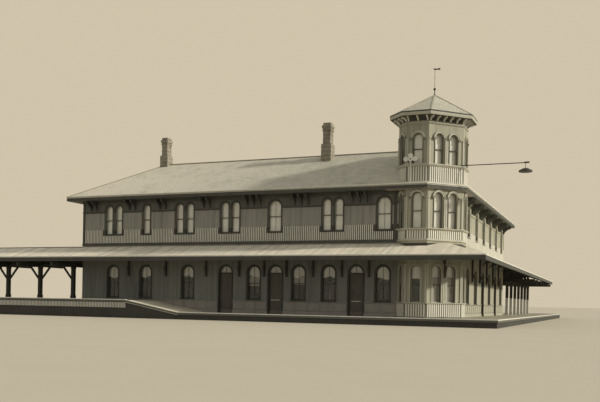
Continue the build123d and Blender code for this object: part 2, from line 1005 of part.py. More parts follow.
def casing_group(face, group):
    # casings of one window or pair on a shared sill
    left = min(u - w / 2 for u, w, _, _ in group) - casing
    right = max(u + w / 2 for u, w, _, _ in group) + casing
    sill = group[0][2]
    shape = None
    for u, w, bottom, top in group:
        ring = arch(u, w + casing * 2, bottom, top + casing) - arch(u, w, bottom, top)
        shape = ring if shape is None else shape + ring
    trim = out_of(face, shape, 0, casing_stand_out)
    ledge = out_of(face, rectangle(left - casing / 2, right + casing / 2, sill - sill_depth, sill),
                   0, sill_stand_out)
    return trim + ledge


def pane_on(face, u, width, sill, head):
    # a plain sheet against the wall's inner face
    sheet = rectangle(u - width / 2 - pane_lap, u + width / 2 + pane_lap, sill - pane_lap,
                      head + pane_lap)
    return out_of(face, sheet, -wall - pane, -wall)


def panes(face, groups):
    return [pane_on(face, *opening) for group in groups for opening in group]


def flat_casing(face, opening):
    u, w, sill, head = opening
    ring = rectangle(u - w / 2 - casing, u + w / 2 + casing, sill - sill_depth, head + casing)
    return out_of(face, ring - flat_head(*opening), 0, casing_stand_out)


def tower_panes(sill, head):
    pieces = []
    for face, group in zip(tower_faces, tower_groups(sill, head)):
        pieces += panes(face, [group])
    return pieces


def glass_lower():
    pieces = panes(front_face, front_lower_groups()) + panes(side_face, side_lower_groups())
    pieces += tower_panes(lower_sill, lower_head)
    for face, below, _ in rear_rows():
        pieces += panes(face, [below])
    for face, u in door_walls():
        pieces.append(pane_on(face, u, door_width, door_head + pane_lap,
                              door_head + door_width / 2))
    return pieces


def glass_upper():
    pieces = panes(front_face, front_upper_groups()) + panes(side_face, side_upper_groups())
    pieces += tower_panes(upper_sill, tower_upper_head)
    pieces += tower_panes(lookout_sill, lookout_head)
    for face, _, above in rear_rows():
        pieces += panes(face, [above])
    return pieces


def door_frame(face, u):
    # threshold, jambs, transom bar and casing of one doorway
    half = door_width / 2
    rough = half + jamb
    threshold = rectangle(u - rough, u + rough, footing_top - deck_top, 0)
    sides = rectangle(u - rough, u + rough, 0, door_head) - rectangle(u - half, u + half, 0,
                                                                   door_head - transom_bar)
    body = out_of(face, threshold + sides, -wall, 0)
    trim = arch(u, door_width + casing * 2, 0, door_head + half + casing) - arch(
        u, door_width, 0, door_head + half)
    return body + out_of(face, trim, 0, casing_stand_out)


def door_frames():
    return [door_frame(face, u) for face, u in door_walls()]


def hinge_axis(u):
    return u - door_width / 2 + leaf_gap - 1


def pintle(face, u, height):
    # bracket on the jamb's inner face with an upright pin for the leaf's strap
    axis_u = hinge_axis(u)
    jamb_edge = u - door_width / 2
    under = height - hinge_bracket_height
    arm = out_of(face, rectangle(jamb_edge - hinge_bracket_length, axis_u, under, height),
                 -wall - hinge_axis_set_in - hinge_knuckle_radius / 2, -wall)
    spot = face.from_local_coords((axis_u, under, -wall - hinge_axis_set_in))
    boss = Pos(*spot) * Cylinder(hinge_knuckle_radius - 1, hinge_bracket_height,
                                 align=(Align.CENTER, Align.CENTER, Align.MIN))
    pin = Pos(*spot) * Cylinder(hinge_pin_radius, hinge_bracket_height + hinge_strap_height * 1.3,
                                align=(Align.CENTER, Align.CENTER, Align.MIN))
    return arm + boss + pin


def door_hinges():
    return [pintle(face, u, height) for face, u in door_walls() for height in hinge_heights]


def strap(face, u, height):
    # strap on the leaf's inner face, with an eye that turns on the pintle's pin
    axis_u = hinge_axis(u)
    bottom = height + hinge_play
    top = bottom + hinge_strap_height
    spot = face.from_local_coords((axis_u, bottom, -wall - hinge_axis_set_in))
    eye = Pos(*spot) * Cylinder(hinge_knuckle_radius, hinge_strap_height,
                                align=(Align.CENTER, Align.CENTER, Align.MIN))
    neck = out_of(face, rectangle(axis_u + 1, axis_u + hinge_knuckle_radius * 2, bottom, top),
                  -wall - hinge_axis_set_in - hinge_strap_thickness / 2, -wall)
    tail = out_of(face, rectangle(axis_u + 1, axis_u + hinge_strap_length, bottom, top),
                  -wall - hinge_strap_thickness, -wall)
    hole = Pos(*spot) * Cylinder(hinge_pin_radius + hinge_play, hinge_strap_height,
                                 align=(Align.CENTER, Align.CENTER, Align.MIN))
    return eye + neck + tail - hole


def door_leaf(face, u):
    # framed leaf with two tall upper panels and two low ones, kick plate, knobs and straps
    half = door_width / 2 - leaf_gap
    bottom = leaf_bottom_gap
    top = door_head - transom_bar - leaf_gap
    sheet = rectangle(u - half, u + half, bottom, top)
    body = out_of(face, sheet, -wall, -wall + leaf)
    rail = bottom + (top - bottom) * 0.42
    inner = half - stile
    for side in (-1, 1):
        near = u + side * stile / 2
        far = u + side * inner
        left = min(near, far)
        right = max(near, far)
        for low, high in ((bottom + stile * 2, rail - stile / 2), (rail + stile / 2, top - stile)):
            shape = rectangle(left, right, low, high)
            body = body - out_of(face, shape, -wall, -wall + panel_recess)
            body = body - out_of(face, shape, -wall + leaf - panel_recess, -wall + leaf)
    plate = rectangle(u - inner, u + inner, bottom + kick_plate, bottom + kick_plate_depth)
    body = body + out_of(face, plate, -wall + leaf, -wall + leaf + kick_plate)
    spot = face.from_local_coords((u + half - stile / 2, knob_height, -wall + leaf / 2))
    knob = Plane(origin=spot, z_dir=face.z_dir) * Cylinder(knob_radius, leaf + knob_length * 2)
    for height in hinge_heights:
        body = body + strap(face, u, height)
    return body + knob


# Chimneys, signal arm and signal target

def chimney(place, width, top, back):
    x = -place
    base = deck_top + eave_edge
    ridge = base + (wing_depth / 2 + eave_overhang) * math.tan(math.radians(roof_pitch))
    half = width / 2
    deep = chimney_depth / 2
    summit = deck_top + top
    shaft = block(x - half, x + half, back - deep, back + deep, base, summit)
    step = chimney_base_step
    foot = block(x - half - step, x + half + step, back - deep - step, back + deep + step, base,
                 ridge + chimney_base_rise)
    step = chimney_cap_step
    cap = block(x - half - step, x + half + step, back - deep - step, back + deep + step,
                summit - chimney_cap_depth * 2, summit - chimney_cap_depth)
    return shaft + foot + cap - roof_mass(base)


def chimneys():
    ridge = wing_depth / 2
    return [chimney(west_chimney_place, west_chimney_width, west_chimney_top, ridge),
            chimney(east_chimney_place, east_chimney_width, east_chimney_top,
                    ridge - chimney_depth)]


def signal_arm(walls):
    # round arm out of the tower's corner face along the front's line, with a foot and strut
    # under it and a shallow round shade hung near its tip
    face = tower_faces[2]
    root = face.from_local_coords((tower_widths[2] * boom_place, boom_height, 0))
    thick = boom_radius * 3
    lie = Pos(root.X - thick, root.Y, root.Z) * Rot(0, 90, 0)
    arm = lie * upright(boom_radius, boom_length + thick)
    foot = block(root.X - thick, root.X + thick, root.Y - boom_radius, root.Y + boom_radius,
                 root.Z - boom_radius * 8, root.Z)
    strut = side_profile([(root.X, root.Z - boom_radius * 8), (root.X + thick, root.Z - thick * 2),
                          (root.X + boom_radius * 10, root.Z), (root.X + boom_radius * 7, root.Z),
                          (root.X, root.Z - boom_radius * 6)],
                         root.Y - boom_radius / 2, root.Y + boom_radius / 2)
    tip = root.X + boom_length
    fitting = block(tip - lamp_from_tip * 1.4, tip, root.Y - thick / 2, root.Y + thick / 2,
                    root.Z - boom_radius, root.Z + boom_radius * 2)
    hang = tip - lamp_from_tip
    hanger = Pos(hang, root.Y, root.Z - lamp_drop) * upright(boom_radius / 2, lamp_drop)
    crown = lamp_radius * 0.35
    shade = revolve(Plane.XZ * outline([(0, 0), (crown, 0), (lamp_radius, -lamp_depth * 0.6),
                                        (lamp_radius, -lamp_depth), (0, -lamp_depth)]), Axis.Z)
    shade = Pos(hang, root.Y, root.Z - lamp_drop) * shade
    return arm + foot + strut + fitting + hanger + shade - walls


def signal_target():
    # three-lobed board on a stem that stands on the eave beside the tower
    middle = Pos(0, target_height) * Circle(target_lobe)
    board = middle
    for dx, dz in ((-target_spread, 0), (target_spread, 0), (0, target_rise)):
        board = board + Pos(dx, target_height + dz) * Circle(target_lobe)
    board = board + rectangle(-target_spread, target_spread, target_height - target_lobe / 2,
                              target_height + target_lobe / 2)
    board = board + rectangle(-target_lobe / 2, target_lobe / 2, target_height,
                              target_height + target_rise)
    stem = rectangle(-target_stem, target_stem, eave_edge, target_height)
    face = Plane(origin=(-target_place, -target_stand_out, deck_top), x_dir=(1, 0, 0),
                 z_dir=(0, -1, 0))
    solid = out_of(face, board, 0, target_thickness) + out_of(face, stem, -target_stem, 0)
    return solid - main_roof()


def save(name, pieces):
    if not isinstance(pieces, list):
        pieces = [pieces]
    solids = []
    for piece in pieces:
        solids += piece.solids()
    whole = solids[0] if len(solids) == 1 else Compound(solids)
    export_step(whole, os.path.join("parts", name + ".step"))


os.makedirs("parts", exist_ok=True)

save("foundation", foundation())
save("ground_floor", ground_floor())
save("low_deck", low_deck())
save("high_deck", high_deck())
save("ramp", ramp())
save("low_deck_framing", low_framing())
save("high_deck_framing", high_framing() + ramp_framing())
save("front_wall_lower", front_wall_lower())
save("side_wall_lower", side_wall_lower())
save("door_heads", door_heads())
save("front_wall_upper", front_wall_upper())
save("side_wall_upper", side_wall_upper())
save("rear_wall", rear_wall())
save("yard_wall", yard_wall())
save("end_walls", end_walls())
save("tower_walls_lower", tower_walls_lower())
save("tower_walls_upper", tower_walls_upper())
lookout = lookout_walls()
save("lookout_walls", lookout)
save("upper_floor", upper_floor())
save("lookout_floor", lookout_floor())
save("main_cornice", main_cornice())
save("main_roof", main_roof())
save("tower_cornice", tower_cornice())
save("tower_roof", tower_roof())
save("tower_finial", tower_finial())
save("weather_vane", weather_vane())
save("front_canopy", front_canopy())
save("side_canopy", side_canopy())
save("shed_roofs", [west_shed_roof(), north_shed_roof()])
save("shed_frames", [west_shed_frame(), north_shed_frame()])
save("canopy_brackets", front_canopy_brackets() + side_canopy_brackets()
     + [corner_canopy_bracket()])
save("eave_brackets", eave_brackets())
save("tower_brackets", tower_brackets())
save("glass_lower", glass_lower())
save("glass_upper", glass_upper())
save("door_frames", door_frames())
save("door_hinges", door_hinges())
door_names = ["front_door_west", "front_door_middle", "front_door_east",
              "side_door_south", "side_door_north"]
for name, (face, u) in zip(door_names, door_walls()):
    save(name, door_leaf(face, u))
save("chimneys", chimneys())
save("signal_arm", signal_arm(lookout))
save("signal_target", signal_target())
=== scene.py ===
import bpy
import bmesh
import math
from mathutils import Matrix, Vector


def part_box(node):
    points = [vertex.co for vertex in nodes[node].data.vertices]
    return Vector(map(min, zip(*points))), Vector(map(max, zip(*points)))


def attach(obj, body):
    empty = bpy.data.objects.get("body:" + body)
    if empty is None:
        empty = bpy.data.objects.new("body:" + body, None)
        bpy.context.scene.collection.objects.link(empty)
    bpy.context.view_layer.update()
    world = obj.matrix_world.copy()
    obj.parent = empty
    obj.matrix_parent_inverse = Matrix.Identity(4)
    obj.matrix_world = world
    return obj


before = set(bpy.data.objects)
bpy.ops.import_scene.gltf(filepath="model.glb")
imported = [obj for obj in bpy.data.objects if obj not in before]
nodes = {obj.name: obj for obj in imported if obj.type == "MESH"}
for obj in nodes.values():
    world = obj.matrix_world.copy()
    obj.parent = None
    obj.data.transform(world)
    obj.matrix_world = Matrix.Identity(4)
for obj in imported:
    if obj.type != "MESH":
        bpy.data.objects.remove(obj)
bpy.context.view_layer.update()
print("frame loaded,", len(nodes), "nodes")

# The building's own measures in metres, x along the track front, z up from the ground
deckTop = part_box("low_deck")[1].z
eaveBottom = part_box("main_cornice")[0].z
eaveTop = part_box("main_cornice")[1].z
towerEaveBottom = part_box("tower_cornice")[0].z
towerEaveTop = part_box("tower_cornice")[1].z
westEnd = -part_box("high_deck")[0].x
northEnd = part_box("low_deck")[1].y
platformFront = -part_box("low_deck")[0].y
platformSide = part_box("low_deck")[1].x
highDeckEast = -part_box("high_deck")[1].x
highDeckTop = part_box("high_deck")[1].z
rampFoot = -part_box("ramp")[1].x
frontLength = 13.52
sideLength = 12.3
wingDepth = 4.3
wallThickness = 0.1
towerAxis = 0.67  # behind both fronts
towerFlat, towerCorner, towerFlank = 0.957, 0.723, 1.107  # its axis to the faces of each kind
towerEdge = towerAxis + towerFlat
eaveReach, cornerEaveReach, towerEaveReach = 0.42, 0.1, 0.262
roofSlope = math.tan(math.radians(30))
roofEdge = eaveTop + 0.06
towerRoofEdge = towerEaveTop + 0.05
towerRoofRise = 0.75
canopyReach = 1.305
canopyTop = deckTop + 2.295
canopyEdge = canopyTop - 0.42
beltLow, beltHigh = deckTop + 2.42, deckTop + 2.905  # battened belt under the upper windows
ledge = deckTop + 4.62  # under the lookout's windows
shedPitch = 1.525


def linked(name, data):
    made = bpy.data.objects.new(name, data)
    bpy.context.collection.objects.link(made)
    return made


def turnedTo(run, side, up):
    return Matrix((run, side, up)).transposed().to_4x4()


# Camera at the photograph's place, worked out from the building's straight lines
camera = {"place": (4.7665, -23.7475, 0.6175), "turn": 22.03, "roll": 1.066, "lens": 46.959, "width": 36,
          "shift": 0.1691, "far": 4000}
turn = math.radians(camera["turn"])
roll = math.radians(camera["roll"])
ahead = Vector((-math.sin(turn), math.cos(turn), 0))
level = Vector((math.cos(turn), math.sin(turn), 0))
right = level * math.cos(roll) + Vector((0, 0, math.sin(roll)))
upward = Vector((0, 0, math.cos(roll))) - level * math.sin(roll)
viewer = linked("viewer", bpy.data.cameras.new("viewer"))
viewer.matrix_world = Matrix.Translation(camera["place"]) @ turnedTo(right, upward, -ahead)
viewer.data.lens = camera["lens"]
viewer.data.sensor_width = camera["width"]
viewer.data.sensor_fit = "HORIZONTAL"
viewer.data.shift_y = camera["shift"]
viewer.data.clip_end = camera["far"]
bpy.context.scene.camera = viewer
bpy.context.scene.view_settings.view_transform = "Standard"
print("camera placed")


# Shader maths as plain expressions
def operator(operation, reflected=False):
    def work(wire, other):
        return wire.graph.maths(operation, *((other, wire) if reflected else (wire, other)))
    return work


class Wire:
    def __init__(self, graph, socket):
        self.graph, self.socket = graph, socket

    def __abs__(self):
        return self.graph.maths("ABSOLUTE", self)

    __add__, __radd__ = operator("ADD"), operator("ADD", True)
    __sub__, __rsub__ = operator("SUBTRACT"), operator("SUBTRACT", True)
    __mul__, __rmul__ = operator("MULTIPLY"), operator("MULTIPLY", True)
    __truediv__ = operator("DIVIDE")
    __gt__, __lt__ = operator("GREATER_THAN"), operator("LESS_THAN")


# The nodes of a material or of the world
class Graph:
    def __init__(self, tree):
        self.tree = tree
        tree.nodes.clear()

    def add(self, kind, values=None, **settings):
        node = self.tree.nodes.new(kind)
        for key, value in settings.items():
            setattr(node, key, value)
        for key, value in (values or {}).items():
            socket = node.inputs[key] if isinstance(key, int) else next(
                s for s in node.inputs if s.enabled and s.name == key)
            if isinstance(value, Wire):
                self.tree.links.new(value.socket, socket)
            else:
                socket.default_value = (*value, 1) if socket.type == "RGBA" else value
        return {s.name: Wire(self, s) for s in node.outputs if s.enabled}

    def maths(self, operation, *values):
        return self.add("ShaderNodeMath", dict(enumerate(values)), operation=operation)["Value"]

    def vector(self, operation, *values):
        found = self.add("ShaderNodeVectorMath", dict(enumerate(values)), operation=operation)
        return found["Value" if operation == "DOT_PRODUCT" else "Vector"]

    def mix(self, share, first, second):
        values = {"Factor": share, "A": first, "B": second}
        return self.add("ShaderNodeMix", values, data_type="RGBA")["Result"]

    def most(self, *values):
        found = values[0]
        for value in values[1:]:
            found = self.maths("MAXIMUM", found, value)
        return found

    def ramp(self, value, *stops):
        names = ("Value", "From Min", "From Max", "To Min", "To Max")
        return self.add("ShaderNodeMapRange", dict(zip(names, (value, *stops))),
                        interpolation_type="SMOOTHSTEP")["Result"]

    def seen(self):
        # 1 to the camera, mirrors and panes, 0 to the light that falls on the building
        path = self.add("ShaderNodeLightPath")
        return self.most(path["Is Camera Ray"], path["Is Glossy Ray"], path["Is Transmission Ray"])


class Finish(Graph):
    def __init__(self, name):
        self.material = bpy.data.materials.new(name)
        self.material.use_nodes = True
        super().__init__(self.material.node_tree)
        where = self.add("ShaderNodeTexCoord")
        self.place = where["Object"]
        self.normal = where["Normal"]
        axes = self.add("ShaderNodeSeparateXYZ", {"Vector": self.place})
        self.x, self.y, self.z = axes["X"], axes["Y"], axes["Z"]
        self.flow = None

    def noise(self, scale, detail, stretch=(1, 1, 1), distort=0.0):
        spot = self.add("ShaderNodeMapping", {"Vector": self.place, "Scale": stretch})["Vector"]
        return self.add("ShaderNodeTexNoise", {"Vector": spot, "Scale": scale, "Detail": detail,
                                               "Roughness": 0.6, "Distortion": distort})["Fac"]

    def facing(self):
        return self.add("ShaderNodeSeparateXYZ", {"Vector": self.normal})["Z"]

    def along(self):
        # distance along any upright or sloping face, measured level
        if self.flow is None:
            side = self.vector("CROSS_PRODUCT", (0.0, 0.0, 1.0), self.normal)
            self.sideways = self.vector("NORMALIZE", side)
            self.flow = self.vector("DOT_PRODUCT", self.place, self.sideways)
        return self.flow

    def upSlope(self):
        self.along()
        rise = self.vector("CROSS_PRODUCT", self.normal, self.sideways)
        return self.vector("DOT_PRODUCT", self.place, rise)

    def lines(self, value, pitch, width):
        # 1 in the joint between boards, 0 on them, and a number for each board
        steps = value / pitch
        part = self.maths("FRACT", steps)
        share = width / pitch
        gap = self.most(self.ramp(part, 0.0, share, 1.0, 0.0), self.ramp(part, 1 - share, 1.0, 0.0, 1.0))
        board = self.add("ShaderNodeTexWhiteNoise", {"W": self.maths("FLOOR", steps)},
                         noise_dimensions="1D")["Value"]
        return gap, board

    def courses(self, rise, colours, size, joint, smooth=0.1, offset=0.5):
        # rows of slates, stones or bricks over a face, laid by the rise of its points
        spot = self.add("ShaderNodeCombineXYZ", {"X": self.along(), "Y": rise})["Vector"]
        values = {"Vector": spot, "Scale": 1.0, "Mortar Size": joint, "Mortar Smooth": smooth}
        values.update(zip(("Color1", "Color2", "Mortar", "Brick Width", "Row Height"), (*colours, *size)))
        return self.add("ShaderNodeTexBrick", values, offset=offset)

    def shades(self, share, colour, dark, light):
        return self.mix(share, times(colour, dark), times(colour, light))

    def stain(self, base, value, low, high, share, colour):
        # lays a colour over the base as a value rises from low to high
        return self.mix(self.ramp(value, low, high, 0.0, share), base, colour)

    def spread(self, value, low, high):
        # spreads a noise's middle range between two limits
        return self.ramp(value, 0.3, 0.7, low, high)

    def bump(self, height, strength, distance):
        return self.add("ShaderNodeBump", {"Height": height, "Strength": strength,
                                           "Distance": distance})["Normal"]

    def surface(self, base, rough, gloss=0.25, **more):
        values = {"Base Color": base, "Roughness": rough, "Specular IOR Level": gloss, **more}
        shader = self.add("ShaderNodeBsdfPrincipled", values)["BSDF"]
        self.add("ShaderNodeOutputMaterial", {"Surface": shader})


def times(colour, share):
    return tuple(channel * share for channel in colour)


def outOf(f, wall):
    # how far a point stands out of its own wall's face
    if wall == "front":
        return f.y * -1
    if wall == "side":
        return f.x
    if wall == "rear":
        return f.y - wingDepth
    if wall == "yard":
        return f.x * -1 - wingDepth
    if wall == "ends":
        return f.most(f.x * -1 - frontLength, f.y - sideLength)
    dx, dy = f.x + towerAxis, f.y - towerAxis
    across, along = abs(dx - dy) / math.sqrt(2), abs(dx + dy) / math.sqrt(2)
    return f.most(abs(dx) - towerFlat, abs(dy) - towerFlat, across - towerCorner, along - towerFlank)


# Paint on boards, with weather, streaks under ledges, painted bands and a second paint on the trim
def paintedBoards(name, paint, wall=None, trim=None, bands=()):
    f = Finish(name)
    boards = {"pitch": 0.075, "joint": 0.0045, "patch": 0.9, "streak": 5.0, "grain": 38.0, "trimOut": 0.002}
    bare = (1.0, 1.0, 1.0)
    gap, board = f.lines(f.along(), boards["pitch"], boards["joint"])
    patches = f.noise(boards["patch"], 4)
    streaks = f.noise(boards["streak"], 5, (1, 1, 0.09))
    grain = f.noise(boards["grain"], 4, (1, 1, 0.06))
    base = f.shades(patches, paint, 0.82, 1.14)
    for low, high, shade in bands:
        base = f.mix((f.z > low) * (f.z < high), base, f.shades(patches, shade, 0.84, 1.16))
    base = f.vector("MULTIPLY", base, f.shades(board, bare, 0.88, 1.04))
    base = f.vector("MULTIPLY", base, f.stain(bare, streaks, 0.48, 0.78, 0.9, (0.64, 0.63, 0.61)))
    base = f.vector("MULTIPLY", base, f.stain(bare, grain, 0.55, 0.8, 1.0, (1.12, 1.12, 1.12)))
    if trim is None:
        base = f.mix(gap * 0.75, base, times(paint, 0.3))
    else:
        onTrim = outOf(f, wall) > boards["trimOut"]
        base = f.mix(gap * 0.6, base, times(paint, 0.3))
        base = f.mix(onTrim, base, f.shades(patches, trim, 0.8, 1.18))
        gap = gap * (1 - onTrim)
    f.surface(base, f.spread(patches, 0.62, 0.85), 0.3, Normal=f.bump((1 - gap) + grain * 0.12, 0.55, 0.004))


def paintedTrim(name, paint, wear=0.4, under=None, atTower=None):
    f = Finish(name)
    patches = f.noise(2.2, 4)
    grain = f.noise(30.0, 4, (0.35, 0.35, 0.12))
    chips = f.ramp(f.noise(55.0, 5), 0.62, 0.72, 0.0, wear)
    soot = f.ramp(f.noise(3.5, 5, (1, 1, 0.12)), 0.45, 0.75, 0.0, 0.35)
    base = f.mix(soot, f.shades(patches, paint, 0.84, 1.12), times(paint, 0.5))
    base = f.mix(chips, base, (0.24, 0.216, 0.16))
    # paler paint near the tower: painted sunlight on the cornice stretch round the tower's lit corner
    if atTower is not None:
        reach = towerEdge + 0.3
        base = f.mix((f.x > -reach) * (f.y < reach), base, f.mix(soot, atTower, times(atTower, 0.75)))
    # downward faces can take a darker under colour: painted shade on a soffit
    if under is not None:
        base = f.mix(f.facing() < -0.4, base, f.shades(patches, under, 0.8, 1.2))
    f.surface(base, f.spread(grain, 0.55, 0.8), 0.35, Normal=f.bump(grain + chips * -0.4, 0.35, 0.003))


def slateRoof(name, plain, light, sunlitPale):
    f = Finish(name)
    slate = {"size": (0.13, 0.09), "joint": 0.0035, "sunlitPaleUntil": -2.5}
    laid = f.courses(f.upSlope(), ((0.0, 0.0, 0.0), (1.0, 1.0, 1.0), (0.5, 0.5, 0.5)), slate["size"],
                     slate["joint"], 0.3)
    tint = f.add("ShaderNodeSeparateColor", {"Color": laid["Color"]})["Red"]
    overlap = f.maths("FRACT", f.upSlope() / slate["size"][1])
    patches = f.noise(0.55, 5)
    stain = f.noise(2.4, 5, (1, 1, 0.5))
    # paler towards the west end, fading out near the tower: painted sunlight on the roof beyond the tower's
    # shadow
    paler = f.ramp(f.x, -frontLength, slate["sunlitPaleUntil"], 0.95, 0.0)
    base = f.mix(paler * f.ramp(patches, 0.2, 0.6, 0.45, 1.0), f.mix(tint, plain, light), sunlitPale)
    base = f.stain(base, stain, 0.5, 0.8, 0.5, times(plain, 0.62))
    base = f.mix(laid["Fac"] * 0.7, base, times(plain, 0.35))
    # a dark band along the foot of each course: painted shade at the slate edges
    base = f.mix(f.ramp(overlap, 0.0, 0.14, 0.45, 0.0), base, times(plain, 0.4))
    height = (1 - overlap) * 0.8 + tint * 0.25 + laid["Fac"] * -0.6
    f.surface(base, f.spread(stain, 0.5, 0.78), 0.4, Normal=f.bump(height, 0.8, 0.008))


def roofBoards(name, paint, under):
    # canopy boards that run down the slope, stained by rain, with painted shade on every face that does not
    # face up
    f = Finish(name)
    boards = {"pitch": 0.11, "joint": 0.004}
    gap, board = f.lines(f.along(), boards["pitch"], boards["joint"])
    streaks = f.noise(3.0, 5)
    fine = f.noise(26.0, 4)
    base = f.shades(board, paint, 0.86, 1.08)
    base = f.stain(base, streaks, 0.45, 0.75, 0.5, times(paint, 0.66))
    base = f.stain(base, fine, 0.5, 0.75, 0.3, times(paint, 0.75))
    base = f.mix(gap * 0.3, base, times(paint, 0.6))
    # faces that do not face up take the dark under colours: painted shade under the canopy and on the
    # battens' sides
    base = f.mix(f.facing() < 0.3, base, f.mix(streaks, *under))
    f.surface(base, f.spread(fine, 0.7, 0.9), Normal=f.bump((1 - gap) + fine * 0.15, 0.5, 0.004))


def planks(name, paint, edge):
    # platform planks across each platform, worn pale where people walk
    f = Finish(name)
    beside = (f.y > 0.0) * (f.x > -wingDepth)
    boards = {"pitch": 0.1, "joint": 0.004}
    gap, board = f.lines(f.x * (1 - beside) + f.y * beside, boards["pitch"], boards["joint"])
    worn = f.noise(1.1, 5)
    grain = f.noise(24.0, 5, (0.4, 0.4, 1))
    base = f.shades(board, paint, 0.78, 1.12)
    base = f.stain(base, worn, 0.4, 0.7, 0.6, times(paint, 1.25))
    base = f.stain(base, grain, 0.5, 0.75, 0.45, times(paint, 0.55))
    base = f.mix(gap * 0.85, base, times(paint, 0.2))
    base = f.mix(f.facing() > 0.5, f.shades(worn, edge, 0.85, 1.1), base)
    f.surface(base, f.spread(grain, 0.7, 0.92), Normal=f.bump((1 - gap) + grain * 0.3, 0.6, 0.004))


def roughTimber(name, paint, paleBelow=None):
    f = Finish(name)
    grain = f.noise(14.0, 5, (1, 1, 0.12), 0.3)
    knots = f.noise(7.0, 3)
    base = f.shades(grain, paint, 0.62, 1.3)
    base = f.stain(base, knots, 0.62, 0.72, 0.6, times(paint, 0.4))
    base = f.stain(base, f.noise(1.6, 4), 0.4, 0.7, 0.4, times(paint, 0.55))
    if paleBelow is not None:
        limit, pale = paleBelow
        low = (f.z + grain * 0.02 < limit) * (f.y > sideLength)
        base = f.mix(low, base, f.shades(grain, pale, 0.8, 1.1))
    f.surface(base, f.spread(grain, 0.68, 0.9), Normal=f.bump(grain + knots * 0.3, 0.5, 0.004))


def stoneFooting(name, colours, dirt):
    f = Finish(name)
    stone = {"size": (0.24, 0.078), "joint": 0.006, "offset": 0.45}
    laid = f.courses(f.z, colours, stone["size"], stone["joint"], offset=stone["offset"])
    rough = f.noise(9.0, 5)
    f.surface(f.mix(rough, laid["Color"], f.mix(rough, *dirt)), f.spread(rough, 0.7, 0.95), 0.3,
              Normal=f.bump(rough + laid["Fac"] * -0.8, 0.8, 0.01))


def brickStack(name, colours, dark, dust, soot):
    # bricks laid in pairs of courses, two lighter and two darker
    f = Finish(name)
    brick = {"size": (0.105, 0.036), "joint": 0.0045, "pairs": 0.144}
    laid = f.courses(f.z, colours, brick["size"], brick["joint"], 0.2)
    fine = f.noise(40.0, 4)
    base = f.mix((f.maths("FRACT", f.z / brick["pairs"]) > 0.5) * 0.6, laid["Color"], dark)
    base = f.stain(base, fine, 0.4, 0.7, 0.5, dust)
    base = f.stain(base, f.noise(2.6, 5), 0.45, 0.75, 0.7, soot)
    f.surface(base, f.spread(fine, 0.75, 0.95), Normal=f.bump(fine * 0.4 + laid["Fac"] * -1.0, 0.8, 0.005))


def ironPaint(name, paint, rust=(0.16, 0.09, 0.05)):
    f = Finish(name)
    spots = f.noise(45.0, 5)
    base = f.shades(f.noise(6.0, 4), paint, 0.7, 1.3)
    f.surface(f.stain(base, spots, 0.58, 0.7, 0.7, rust), f.spread(spots, 0.42, 0.75), 0.5, Metallic=0.2,
              Normal=f.bump(spots, 0.3, 0.002))


def windowGlass(name, dust, cover, gloss, paleAbove=None):
    # old panes: dust and a reflection of the sky, over what stands behind them; where the dust colour is pale
    # and thick it is partly a painted reflection of the sky
    f = Finish(name)
    dirt = f.noise(2.0, 5)
    rain = f.noise(9.0, 4, (1, 1, 0.12))
    base = f.stain(f.shades(dirt, dust, 0.86, 1.06), rain, 0.5, 0.75, 0.35, times(dust, 0.7))
    alpha = f.spread(dirt, cover - 0.06, cover + 0.06)
    if paleAbove is not None:
        # the arched upper lights are paler and more opaque above a ragged edge
        limit, paleTone = paleAbove
        high = f.ramp(f.z + dirt * 0.5, limit, limit + 0.05, 0.0, 0.85)
        base = f.mix(high, base, f.shades(rain, paleTone, 0.8, 1.05))
        alpha = alpha + high * (0.98 - cover)
    f.surface(base, f.spread(dirt, 0.05, 0.18), gloss, IOR=1.7, Alpha=alpha,
              Normal=f.bump(f.noise(5.0, 2), 0.2, 0.01))


def doorPaint(name, paint, scuffed=(0.20, 0.17, 0.13)):
    f = Finish(name)
    grain = f.noise(20.0, 5, (1, 1, 0.08), 0.4)
    hands = f.noise(4.0, 4)
    base = f.stain(f.shades(grain, paint, 0.7, 1.25), hands, 0.45, 0.75, 0.5, times(paint, 0.5))
    kick = f.ramp(f.z + hands * 0.05, deckTop + 0.12, deckTop + 0.2, 0.55, 0.0)
    f.surface(f.mix(kick, base, scuffed), f.spread(grain, 0.38, 0.62), 0.45,
              Normal=f.bump(grain, 0.35, 0.003))


